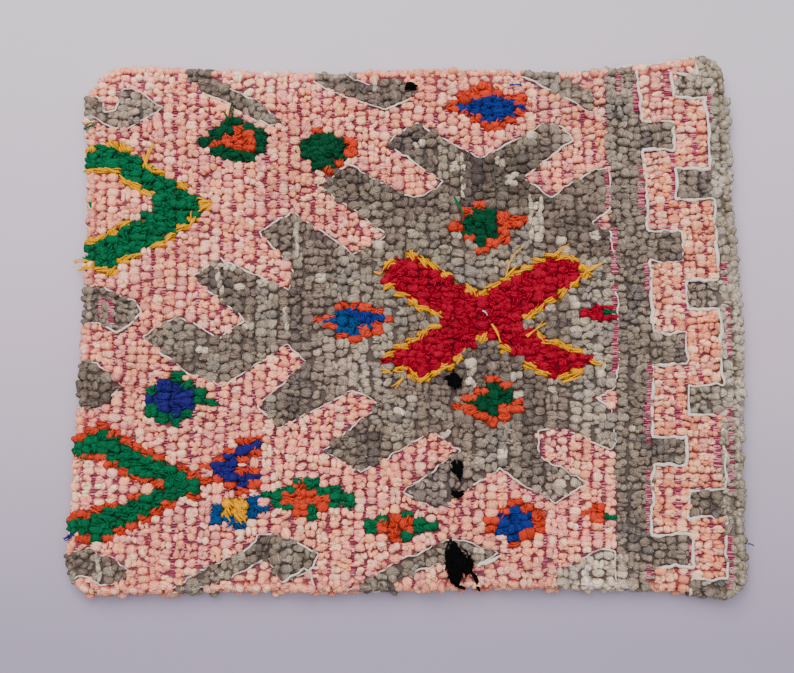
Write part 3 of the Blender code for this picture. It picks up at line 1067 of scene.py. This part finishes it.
def build_strands(name, x, y, material, tint, angle, length, top, radius=STRAND_RADIUS, dive=None):
    """One piece of many short strands, from their places, directions, lengths and heights."""
    count = len(x)
    if dive is None:
        dive = rng.uniform(2.6, 4.2, count)
    paths, sides = strand_arcs(x, y, top, angle, length, dive)
    radii = radius * rng.uniform(0.85, 1.15, (count, 1)) * np.ones((1, STRAND_STEPS))
    points, faces, ply = tubes(paths, radii, STRAND_SIDES, sides)
    tints = np.repeat(tint * (1 + rng.normal(0, 0.1, (count, 1))), STRAND_STEPS * STRAND_SIDES, axis=0)
    # Painted shade, by rise: a strand is darker the further it dives below the pile top
    depth = np.clip(1 - (top[:, None] - paths[:, :, 2]) / 4.0, 0, 1)
    rise = np.repeat(depth[:, :, None], STRAND_SIDES, axis=2).ravel()
    return add_mesh(name, points, faces, material, ply=ply, rise=rise, tint=np.clip(tints, 0, 1))


DYE_SHADE = 0.88
# The dyed yarns: name, tint, and the tint of the ground under them, the yarn darkened as painted shade
DYES = {
    GREEN: ("green", rgb(8, 94, 58), rgb(10, 56, 38)),
    RED: ("red", rgb(154, 8, 37), rgb(124, 8, 30)),
    ORANGE: ("orange", rgb(196, 58, 36), rgb(130, 44, 28)),
    BLUE: ("blue", rgb(24, 44, 116), rgb(16, 32, 76)),
    INDIGO: ("indigo", rgb(34, 32, 104), rgb(22, 26, 74)),
    TEAL: ("teal", rgb(12, 66, 118), rgb(16, 48, 78)),
    YELLOW: ("yellow", rgb(222, 152, 0), rgb(140, 90, 20)),
    BOTTLE: ("bottle_green", rgb(8, 68, 42), rgb(10, 36, 26)),
}
YARN_TINTS = {yarn: tint for yarn, (_, tint, _) in DYES.items()}


def border_ways(x, y):
    """The direction of the chevrons' and the cross's edge nearest to each place."""
    lines = [dense(shape, True, 2.0) for shape in (UPPER_CHEVRON, CROSS)]
    ways = np.vstack([np.gradient(line, axis=0) for line in lines])
    near = ((np.stack([x, y], 1)[:, None] - np.vstack(lines)) ** 2).sum(2).argmin(1)
    return np.arctan2(ways[near, 1], ways[near, 0])


def build_motifs(knots, materials):
    """The dyed knots: lumps of all colours as one piece, and a piece of strands for each colour."""
    dyed = knots["kind"] > EDGE
    x, y, kind = knots["x"][dyed], knots["y"][dyed], knots["kind"][dyed]
    length = np.maximum(knots["length"][dyed], 5.2)
    count = len(x)
    base = np.array([YARN_TINTS[k] for k in kind]) * DYE_SHADE
    base *= rng.uniform(0.88, 1.06, (count, 1))
    lumps = crown(x, y, kind, length, np.full(count, 1.14), base)
    lumps["place"][:, 2] -= np.where(np.isin(kind, tuple(LONG_STRANDS)), 1.0, 0.1)
    add_nubs("dyed_lumps", in_lumps(lumps), materials["dyed"])
    slant = rng.choice([-1, 1], count) * rng.uniform(0.1, 1.3, count)
    slant = np.where(kind == YELLOW, border_ways(x, y) + rng.normal(0, 0.3, count), slant)
    for yarn, tint in YARN_TINTS.items():
        bundle, shortest, longest, share, fan = LONG_STRANDS.get(yarn, FILL_STRANDS)
        mine = np.repeat(np.flatnonzero(kind == yarn), bundle)
        if not len(mine):
            continue
        total = len(mine)
        angle = slant[mine] + rng.normal(0, fan, total)
        spread = (np.tile(np.arange(bundle), total // bundle) - (bundle - 1) / 2) * length[mine] / bundle
        spread *= share
        shift = rng.normal(0, 2.4, total)
        px = x[mine] - np.sin(slant[mine]) * spread + np.cos(slant[mine]) * shift
        py = y[mine] + np.cos(slant[mine]) * spread + np.sin(slant[mine]) * shift
        top = pile_top(px, py) - 0.2 - 0.9 * (spread / 4) ** 2 + rng.normal(0, 0.4, total)
        reach = rng.uniform(shortest, longest, total)
        name = DYES[yarn][0] + "_strands"
        build_strands(name, px, py, materials["yarn"], tint * DYE_SHADE, angle, reach, top)


WHITE_TINT = rgb(200, 187, 176)
# Loose ends of the dyed yarns and of the white one (None): yarn, foot, end, threads
LOOSE_ENDS = (
    (YELLOW, (-322, 60), (-338, 61), 4),
    (YELLOW, (-322, 55), (-331, 52), 3),
    (YELLOW, (-266, 158), (-257, 181), 4),
    (YELLOW, (-264, 156), (-268, 171), 3),
    (YELLOW, (100, 44), (121, 78), 1),
    (YELLOW, (101, 45), (112, 56), 2),
    (YELLOW, (147, 66), (164, 77), 2),
    (YELLOW, (180, 50), (197, 58), 3),
    (YELLOW, (-26, 47), (-33, 50), 3),
    (YELLOW, (-17, -52), (-26, -51), 3),
    (YELLOW, (-4, -58), (-14, -67), 4),
    (YELLOW, (183, -41), (194, -43), 3),
    (YELLOW, (155, -62), (171, -55), 3),
    (YELLOW, (85, -3), (93, -22), 2),
    (YELLOW, (119, -15), (136, -2), 3),
    (None, (76, 10), (80, 5), 1),
    (BOTTLE, (-181, 202), (-178, 222), 3),
    (BOTTLE, (-181, 202), (-186, 212), 2),
    (GREEN, (57, 108), (47, 126), 3),
    (GREEN, (-313, -130), (-328, -142), 1),
    (GREEN, (-318, 200), (-329, 197), 6),
    (GREEN, (-320, 117), (-319, 127), 5),
    (INDIGO, (-328, -211), (-337, -215), 5),
    (BLUE, (106, 242), (118, 243), 2),
    (GREEN, (334, -221), (342, -223), 1),
    (TEAL, (-150, -184), (-140, -187), 3),
    (TEAL, (-168, -197), (-176, -204), 3),
    (ORANGE, (51, 224), (38, 220), 2),
    (ORANGE, (122, 223), (131, 217), 2),
)


LOOSE_STEPS = 7
LOOSE_SIDES = 5
LOOSE_RADIUS = 0.85


def build_loose_ends(materials):
    """The loose ends as one piece, each thread a low arc over the pile, bent down past the rim."""
    paths, tints = [], []
    t = np.linspace(0, 1, LOOSE_STEPS)
    for yarn, foot, end, threads in LOOSE_ENDS:
        for _ in range(threads):
            start = np.array(foot) + rng.normal(0, 0.9, 2)
            stop = np.array(end) + rng.normal(0, 1.1 if threads > 1 else 0.1, 2)
            way = stop - start
            side = np.array([-way[1], way[0]]) / (np.linalg.norm(way) + 1e-6)
            bow = rng.normal(0, 1.0) if threads > 1 else 0.12 * np.linalg.norm(way)
            plan = start + way * t[:, None] + side * (np.sin(math.pi * t) * bow)[:, None]
            z = pile_top(*start) + 0.6 + np.sin(math.pi * t) * 1.6 - 0.5 * t
            rim = inside_by(plan[:, 0], plan[:, 1])
            z = np.where(rim < 6, np.minimum(z, 21 + rim * 0.6), z)
            paths.append(extended(plan, z))
            tints.append(YARN_TINTS.get(yarn, WHITE_TINT) * rng.uniform(0.8, 1.0))
    paths = np.array(paths)
    radii = np.full(paths.shape[:2], LOOSE_RADIUS) * np.linspace(1, 0.6, LOOSE_STEPS)
    points, faces, ply = tubes(paths, radii, LOOSE_SIDES)
    tint = np.clip(np.repeat(np.array(tints), LOOSE_STEPS * LOOSE_SIDES, axis=0), 0, 1)
    rise = np.ones(len(points))
    add_mesh("loose_ends", points, faces, materials["yarn"], ply=ply, rise=rise, tint=tint)


# White outline yarn: radius and depth in the pile, round the figures and along the border
FIGURE_YARN = (0.8, 3.0)
BORDER_YARN = (1.45, 1.9)
OUTLINE_STEP = 2.2
OUTLINE_SIDES = 8


def build_outline_yarn(materials):
    """All the outline yarn as one piece, a tube for each run that lies on the rug."""
    points, faces, plies = [], [], []
    laid = 0
    for number, (corners, closes) in enumerate(outline_yarns()):
        line = dense(corners, closes, OUTLINE_STEP)
        far = np.arange(len(line)) * OUTLINE_STEP
        way = unit(np.gradient(line, axis=0))
        wobble = noise_1d(far, 300 + number, 10) * 1.5 + noise_1d(far, 350 + number, 4.5) * 0.9
        line = line + np.stack([way[:, 1], -way[:, 0]], 1) * wobble[:, None]
        thick, sunk = FIGURE_YARN if closes else BORDER_YARN
        z = pile_top(line[:, 0], line[:, 1]) - sunk + noise_1d(far, 400 + number, 16) * 3.2
        path = extended(line, z)
        radius = thick * (1 + 0.5 * noise_1d(far, 500 + number, 8))
        on_rug = inside_by(line[:, 0], line[:, 1]) > 1.0
        for a, b, kept in runs_of(on_rug.astype(int)):
            if kept and b - a > 3:
                tube = tubes(path[None, a:b], radius[None, a:b], OUTLINE_SIDES)
                points.append(tube[0])
                faces.append(tube[1] + laid)
                plies.append(tube[2])
                laid += len(tube[0])
    add_mesh(
        "white_outline", np.vstack(points), np.vstack(faces), materials["white"],
        ply=np.vstack(plies), rise=np.ones(laid), tint=np.tile(WHITE_TINT, (laid, 1)),
    )


# Wefts that show between the columns, and in the bare strips: length, depth below the pile
COLUMN_WEFT = (4.6, 4.6)
STRIP_WEFT = (6.8, 2.3)
COLUMN_WEFT_STEP = 2.8
STRIP_WEFT_STEP = 2.1
WEFT_RADIUS = 0.9
WEFT_POINTS = 3
WEFT_SIDES = 4
WEFT_TINTS = np.array([rgb(184, 94, 114), rgb(156, 64, 88), rgb(200, 126, 138), rgb(140, 54, 76)])


def weft_rows():
    """Where dashes of weft show: x, y, length and depth below the pile, in four arrays."""
    rows = []
    for column in range(COLUMNS - 1):
        y = np.arange(-262, 268, COLUMN_WEFT_STEP) + rng.uniform(-0.3, 0.3)
        x = column_x(column + 0.5, y)
        seen = np.isin(pattern(x, y), PINKS)
        seen &= (noise_2d(x, y, 77, 16) > -0.7) & (inside_by(x, y) > 7)
        rows += [(*place, *COLUMN_WEFT) for place in zip(x[seen], y[seen])]
    for middle, low, high in BARE_STRIPS:
        y = np.arange(low - 2, high + 2, STRIP_WEFT_STEP)
        x = np.full(len(y), float(middle))
        seen = inside_by(x, y) > 4
        rows += [(*place, *STRIP_WEFT) for place in zip(x[seen], y[seen])]
    return np.array(rows).T


def build_wefts(materials):
    """The wefts as one piece of short arcs across the gaps between the columns."""
    x, y, length, depth = weft_rows()
    count = len(x)
    t = np.linspace(-1, 1, WEFT_POINTS)
    path = np.zeros((count, WEFT_POINTS, 3))
    path[:, :, 0] = x[:, None] + t * length[:, None] / 2 + rng.normal(0, 0.4, (count, 1))
    path[:, :, 1] = y[:, None] + rng.normal(0, 0.25, (count, 1)) + t * rng.normal(0, 0.3, (count, 1))
    path[:, :, 2] = (pile_top(x, y) - depth + rng.normal(0, 0.4, count))[:, None] - t**2 * 1.2
    points, faces, ply = tubes(path, np.full((count, WEFT_POINTS), WEFT_RADIUS), WEFT_SIDES)
    picks = rng.integers(0, len(WEFT_TINTS), count)
    tint = np.repeat(WEFT_TINTS[picks], WEFT_POINTS * WEFT_SIDES, axis=0)
    rise = np.full(len(points), 0.8)
    add_mesh("magenta_wefts", points, faces, materials["yarn"], ply=ply, rise=rise, tint=tint)


# The woven ground
GROUND_ROWS = (
    # inside the outline, height
    (4.5, 0.0),
    (3.6, 5.0),
    (3.8, 12.0),
    (7.5, 17.0),
    (13.0, GROUND_TOP),
)
GROUND_RINGS = 44
# The ground's colour under each yarn: the real wefts and knot roots, made darker than the yarn as painted
# shade between the knots
GROUND_SHADED_TINTS = {
    PINK: rgb(116, 52, 68),
    SALMON: rgb(124, 60, 70),
    GREY: rgb(80, 68, 63),
    BAND: rgb(82, 70, 66),
    EDGE: rgb(104, 92, 84),
    **{yarn: under for yarn, (_, _, under) in DYES.items()},
}


def build_ground(materials):
    """The woven ground with its turned edge, which the knots stand on."""
    ring = OUTLINE[::3]
    ways = outline_ways()[::3]
    rows = [extended(ring - ways * inset, level) for inset, level in GROUND_ROWS]
    rim = rows[-1][:, :2]
    rows += [extended(rim * share, GROUND_TOP) for share in np.linspace(1, 0, GROUND_RINGS + 1)[1:-1]]
    points = np.vstack(rows)
    count = len(ring)
    faces = []
    for k in range(len(rows) - 1):
        for i in range(count):
            j = (i + 1) % count
            faces.append((k * count + i, k * count + j, (k + 1) * count + j, (k + 1) * count + i))
    mesh = bpy.data.meshes.new("ground")
    top = tuple(range((len(rows) - 1) * count, len(rows) * count))
    bottom = tuple(range(count))[::-1]
    mesh.from_pydata([tuple(p * MM) for p in points], [], faces + [top, bottom])
    # Each point takes the ground colour of the yarn above it, darkened as painted shade
    kinds = pattern(points[:, 0], points[:, 1])
    tints = np.array([GROUND_SHADED_TINTS[k] for k in kinds])
    tints = extended(tints, 1).astype(np.float32)
    mesh.attributes.new("tint", "FLOAT_COLOR", "POINT").data.foreach_set("color", tints.ravel())
    mesh.materials.append(materials["ground"])
    piece = bpy.data.objects.new("ground", mesh)
    bpy.context.scene.collection.objects.link(piece)
    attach(piece, "root")
    return piece


# Black mending yarn
BLACK = rgb(7, 7, 8)
BLACK_RADIUS = 0.95
BLACK_DIVE = 3.0
BLACK_SHAPES = {
    "mend_tuft": ((37, -222), (41, -217), (47, -218), (51, -225), (53, -229), (58, -226), (63, -231),
                  (65, -239), (63, -247), (56, -253), (52, -254), (49, -260), (42, -258), (38, -250),
                  (37, -238), (38, -229)),
    "mend_patch": ((43, -144), (46, -139), (53, -140), (55, -146), (54, -152), (52, -159), (50, -155),
                   (48, -152), (44, -149)),
    "mend_bit": ((41, -167), (45, -168), (49, -170), (56, -169), (55, -174), (48, -175), (44, -173)),
    "mend_star": ((37, -58), (43, -54), (46, -50), (49, -55), (56, -59), (53, -66), (48, -69), (42, -64)),
    "mend_top_bit": ((-4, 240), (0, 244), (8, 243), (12, 240), (8, 237), (0, 237)),
}
BLACK_TAILS = (
    ((59, -244), (65, -251), (68, -258), (70, -264)),
    ((44, -256), (48, -260), (55, -263)),
)


def black_strands(node, count, spread_angle, lengths):
    """Short strands that fill one of the black shapes: places, tops, angles and lengths."""
    shape = np.array(BLACK_SHAPES[node], float)
    low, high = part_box(node)
    corner, size = shape.min(0), np.ptp(shape, axis=0)
    spots = corner + size * rng.random((count * 8, 2))
    angles = math.pi / 2 + rng.normal(0, spread_angle, len(spots))
    lengths = rng.uniform(*lengths, len(spots))
    ends = np.stack([np.cos(angles), np.sin(angles)], 1) * lengths[:, None] * 0.36
    within = [inside(shape, *(spots + ends * sign).T) for sign in (-1, 0, 1)]
    keep = np.flatnonzero(np.all(within, axis=0))[:count]
    spots, angles, lengths = spots[keep], angles[keep], lengths[keep]
    middle = shape.mean(0)
    oval = 1 - (((spots - middle) / (size * 0.56)) ** 2).sum(1)
    base, top = low[2] / MM, high[2] / MM
    tops = base + np.sqrt(np.clip(oval, 0.1, 1)) * (top - base) * 0.8
    return spots[:, 0], spots[:, 1], tops, angles, lengths


def black_tails():
    """Strands laid end to end along the tuft's two tails."""
    rows = []
    for tail in BLACK_TAILS:
        for (ax, ay), (bx, by) in zip(tail[:-1], tail[1:]):
            for _ in range(4):
                shift = rng.normal(0, 0.5, 2)
                x, y = (ax + bx) / 2 + shift[0], (ay + by) / 2 + shift[1]
                z = min(float(pile_top(x, y)) + 0.5, 24.0)
                rows.append((x, y, z, math.atan2(by - ay, bx - ax), math.hypot(bx - ax, by - ay) + 3))
    return np.array(rows).T


def build_mends(materials):
    """A piece of black strands for each of the mends, in place of its solid."""
    for node, count, spread, lengths in (
        ("mend_tuft", 170, 0.3, (6, 11)),
        ("mend_patch", 50, 0.4, (5, 8)),
        ("mend_bit", 30, 1.2, (4, 7)),
        ("mend_star", 46, 1.5, (5, 11)),
        ("mend_top_bit", 30, 1.2, (4, 7)),
    ):
        rows = black_strands(node, count, spread, lengths)
        if node == "mend_tuft":
            rows = [np.append(row, tail) for row, tail in zip(rows, black_tails())]
        x, y, top, angle, length = rows
        dive = np.full(len(x), BLACK_DIVE)
        name = node + "_yarn"
        piece = build_strands(name, x, y, materials["yarn"], BLACK, angle, length, top, BLACK_RADIUS, dive)
        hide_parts(node)


# Materials
STRAND_PITCH = 2.5
FLOOR_SHADE_TONES = (
    # place on the ramp, from the front to the back, and tone, darker towards the front as painted shade
    (0.05, tuple(rgb(140, 130, 150))),
    (0.5, tuple(rgb(172, 156, 171))),
    (0.95, tuple(rgb(178, 168, 179))),
)


class Nodes:
    """A short way to add and link shader nodes."""

    def __init__(self, name):
        self.material = bpy.data.materials.new(name)
        self.material.use_nodes = True
        self.tree = self.material.node_tree
        self.shader = self.tree.nodes["Principled BSDF"]

    def add(self, kind, **settings):
        node = self.tree.nodes.new(kind)
        for key, value in settings.items():
            if key in node.inputs:
                node.inputs[key].default_value = value
            else:
                setattr(node, key, value)
        return node

    def link(self, start, end):
        self.tree.links.new(start, end)

    def attribute(self, name, output="Fac"):
        return self.add("ShaderNodeAttribute", attribute_name=name).outputs[output]

    def math(self, operation, first, second=None):
        node = self.add("ShaderNodeMath", operation=operation)
        for socket, value in zip(node.inputs, (first, second)):
            if isinstance(value, (int, float)):
                socket.default_value = value
            elif value is not None:
                self.link(value, socket)
        return node.outputs[0]

    def mix(self, blend, factor, first, second):
        node = self.add("ShaderNodeMix", data_type="RGBA", blend_type=blend)
        for socket, value in ((node.inputs[0], factor), (node.inputs[6], first), (node.inputs[7], second)):
            if isinstance(value, bpy.types.NodeSocket):
                self.link(value, socket)
            else:
                socket.default_value = value
        return node.outputs[2]

    def noise(self, vector, scale, detail=2.0, roughness=0.5):
        node = self.add("ShaderNodeTexNoise", Scale=scale, Detail=detail, Roughness=roughness)
        self.link(vector, node.inputs["Vector"])
        return node.outputs["Fac"]

    def ramp(self, value, *stops):
        node = self.add("ShaderNodeValToRGB")
        while len(node.color_ramp.elements) < len(stops):
            node.color_ramp.elements.new(0.5)
        for element, (place, shade) in zip(node.color_ramp.elements, stops):
            element.position = place
            element.color = (shade, shade, shade, 1) if isinstance(shade, float) else (*shade, 1)
        self.link(value, node.inputs["Fac"])
        return node.outputs["Color"]

    def scaled(self, vector, scale):
        node = self.add("ShaderNodeMapping", Scale=scale)
        self.link(vector, node.inputs["Vector"])
        return node.outputs["Vector"]

    def bump(self, height, strength, distance):
        node = self.add("ShaderNodeBump", Strength=strength, Distance=distance)
        self.link(height, node.inputs["Height"])
        return node.outputs["Normal"]


def wool(name, dark, light, groove_shade, root_shade, sheen):
    """Thick wool yarn: curved strands, each of its own tone, with painted shade: darker in the grooves
    between strands, and darker and redder low on each knot, between the knots.
    """
    n = Nodes(name)
    ply = n.attribute("ply", "Vector")
    parts = n.add("ShaderNodeSeparateXYZ")
    n.link(ply, parts.inputs[0])
    swirl = n.noise(n.scaled(ply, (0.3, 0.3, 0.3)), 1.0, 1.0)
    across = n.math("ADD", parts.outputs[0], n.math("MULTIPLY", swirl, 3.0))
    strand = n.math("FLOOR", n.math("DIVIDE", across, STRAND_PITCH))
    ridge = n.math("DIVIDE", n.math("PINGPONG", across, STRAND_PITCH / 2), STRAND_PITCH / 2)
    own = n.add("ShaderNodeCombineXYZ")
    n.link(n.math("MULTIPLY", strand, 3.7), own.inputs[0])
    n.link(n.math("MULTIPLY", parts.outputs[1], 0.07), own.inputs[1])
    n.link(n.math("MULTIPLY", parts.outputs[2], 0.2), own.inputs[2])
    tones = n.noise(own.outputs[0], 1.0, 1.0, 0.5)
    hairs = n.noise(n.scaled(ply, (1.6, 0.35, 0.8)), 1.0, 2.0, 0.6)
    tone = n.ramp(tones, (0.32, 1.0 - dark), (0.5, 1.0), (0.68, 1.0 + light))
    base = n.mix("MULTIPLY", 1.0, n.attribute("tint", "Color"), tone)
    # Painted shade: each strand's colour darkens in the groove beside it
    base = n.mix("MULTIPLY", 1.0, base, n.ramp(ridge, (0.0, 1.0 - groove_shade), (0.55, 1.0)))
    base = n.mix("MULTIPLY", 1.0, base, n.ramp(hairs, (0.34, 1.0 - dark * 0.5), (0.62, 1.0 + light * 0.3)))
    # Painted shade: low on each knot, by its rise, the colour darkens towards the root colour, where the
    # knots crowd and shade one another
    depth = n.ramp(n.attribute("rise"), (0.12, root_shade), (0.78, (1.0, 1.0, 1.0)))
    n.link(n.mix("MULTIPLY", 1.0, base, depth), n.shader.inputs["Base Color"])
    n.shader.inputs["Roughness"].default_value = 0.95
    n.shader.inputs["Specular IOR Level"].default_value = 0.08
    n.shader.inputs["Sheen Weight"].default_value = sheen
    n.shader.inputs["Sheen Roughness"].default_value = 0.5
    fibre = n.math("ADD", n.math("MULTIPLY", ridge, 0.8), n.math("MULTIPLY", hairs, 0.6))
    n.link(n.bump(fibre, 0.8, 0.0011), n.shader.inputs["Normal"])
    return n.material


def twisted(name, sheen):
    """Thin two-ply yarn with its twist."""
    n = Nodes(name)
    ply = n.add("ShaderNodeSeparateXYZ")
    n.link(n.attribute("ply", "Vector"), ply.inputs[0])
    wound = n.math("MULTIPLY", ply.outputs[0], 1.9)
    turn = n.math("ADD", wound, n.math("MULTIPLY", ply.outputs[1], 2 * math.tau))
    twist = n.math("SINE", turn)
    fuzz = n.noise(n.scaled(n.attribute("ply", "Vector"), (1.0, 6.0, 1.0)), 1.6, 2.0)
    tone = n.ramp(fuzz, (0.3, 0.78), (0.65, 1.08))
    base = n.mix("MULTIPLY", 1.0, n.attribute("tint", "Color"), tone)
    # Painted shade: the yarn darkens where it dives down into the pile
    depth = n.ramp(n.attribute("rise"), (0.0, 0.7), (0.8, 1.0))
    n.link(n.mix("MULTIPLY", 1.0, base, depth), n.shader.inputs["Base Color"])
    n.shader.inputs["Roughness"].default_value = 0.9
    n.shader.inputs["Specular IOR Level"].default_value = 0.02
    n.shader.inputs["Sheen Weight"].default_value = sheen
    height = n.math("ADD", n.math("MULTIPLY", twist, 0.4), fuzz)
    n.link(n.bump(height, 0.6, 0.0005), n.shader.inputs["Normal"])
    return n.material


def woven_ground():
    """The plain woven ground, in wine red, with its wefts as fine ridges."""
    n = Nodes("woven_ground")
    place = n.add("ShaderNodeTexCoord").outputs["Object"]
    wefts = n.add("ShaderNodeTexWave", bands_direction="Y", Scale=210.0, Distortion=1.5, Detail=1.0)
    n.link(place, wefts.inputs["Vector"])
    warps = n.add("ShaderNodeTexWave", bands_direction="X", Scale=90.0, Distortion=0.8)
    n.link(place, warps.inputs["Vector"])
    tone = n.ramp(wefts.outputs["Fac"], (0.2, 0.6), (0.8, 1.05))
    tone = n.mix("MULTIPLY", 1.0, n.attribute("tint", "Color"), tone)
    n.link(tone, n.shader.inputs["Base Color"])
    n.shader.inputs["Roughness"].default_value = 0.95
    height = n.math("ADD", wefts.outputs["Fac"], n.math("MULTIPLY", warps.outputs["Fac"], 0.5))
    n.link(n.bump(height, 0.7, 0.0006), n.shader.inputs["Normal"])
    return n.material


def pale_floor():
    """A plain pale floor, with painted shade that makes it darker towards the front."""
    n = Nodes("pale_floor")
    place = n.add("ShaderNodeTexCoord").outputs["Object"]
    parts = n.add("ShaderNodeSeparateXYZ")
    n.link(place, parts.inputs[0])
    cloud = n.noise(n.scaled(place, (1.5, 1.5, 1.0)), 3.0, 3.0)
    # Painted shade: the floor's tone falls towards the front, along Y
    near = n.math("ADD", n.math("MULTIPLY", parts.outputs[1], 1.5), n.math("MULTIPLY", cloud, 0.06))
    level = n.math("ADD", near, 0.5)
    n.link(n.ramp(level, *FLOOR_SHADE_TONES), n.shader.inputs["Base Color"])
    n.shader.inputs["Roughness"].default_value = 0.6
    n.shader.inputs["Specular IOR Level"].default_value = 0.3
    return n.material


# Stage, light and camera
CAMERA_DISTANCE = 1.103
CAMERA_TILT = math.radians(5.83)
AIM = (-0.010, -0.0158, 0.022)
LENS = 50.0
SENSOR = 36.0
FLOOR_SIZE = 6.0
SKY = (0.92, 0.94, 1.0, 1)
SKY_STRENGTH = 0.58


def build_stage():
    bpy.ops.mesh.primitive_plane_add(size=FLOOR_SIZE)
    floor = bpy.context.object
    floor.name = "floor"
    floor.data.materials.append(pale_floor())


def add_area_light(name, place, aim, size, power, colour):
    data = bpy.data.lights.new(name, "AREA")
    data.shape = "SQUARE"
    data.size = size
    data.energy = power
    data.color = colour
    light = bpy.data.objects.new(name, data)
    light.location = place
    light.rotation_euler = (Vector(aim) - Vector(place)).to_track_quat("-Z", "Y").to_euler()
    bpy.context.scene.collection.objects.link(light)


def build_light():
    add_area_light("window", (-0.5, 1.2, 1.7), (0, 0.05, 0), 1.4, 54.0, (1.0, 0.99, 0.98))
    add_area_light("overhead", (0.1, 0.1, 2.2), (0, 0, 0), 2.2, 56.0, (1.0, 1.0, 1.0))
    world = bpy.data.worlds.new("soft_room")
    world.use_nodes = True
    world.node_tree.nodes["Background"].inputs["Color"].default_value = SKY
    world.node_tree.nodes["Background"].inputs["Strength"].default_value = SKY_STRENGTH
    bpy.context.scene.world = world


def build_camera():
    data = bpy.data.cameras.new("camera")
    data.lens = LENS
    data.sensor_width = SENSOR
    camera = bpy.data.objects.new("camera", data)
    back = Vector((0, -math.sin(CAMERA_TILT), math.cos(CAMERA_TILT))) * CAMERA_DISTANCE
    camera.location = Vector(AIM) + back
    camera.rotation_euler = (CAMERA_TILT, 0, 0)
    bpy.context.scene.collection.objects.link(camera)
    bpy.context.scene.camera = camera


def main():
    build_stage()
    build_light()
    build_camera()
    materials = {
        "pink": wool("pink_wool", 0.18, 0.14, 0.28, root_shade=tuple(rgb(172, 108, 126)), sheen=0.04),
        "grey": wool("grey_wool", 0.28, 0.3, 0.32, root_shade=tuple(rgb(166, 152, 148)), sheen=0.04),
        "dyed": wool("dyed_wool", 0.14, 0.1, 0.14, root_shade=tuple(rgb(196, 196, 196)), sheen=0.0),
        "yarn": twisted("dyed_yarn", sheen=0.0),
        "white": twisted("white_yarn", sheen=0.15),
        "ground": woven_ground(),
    }
    ground = build_ground(materials)
    pile, knots = build_pile(materials)
    rim = build_rim(materials)
    build_motifs(knots, materials)
    build_loose_ends(materials)
    build_outline_yarn(materials)
    build_wefts(materials)
    build_mends(materials)
    for piece in [ground, *pile, *rim]:
        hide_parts("rug")


main()
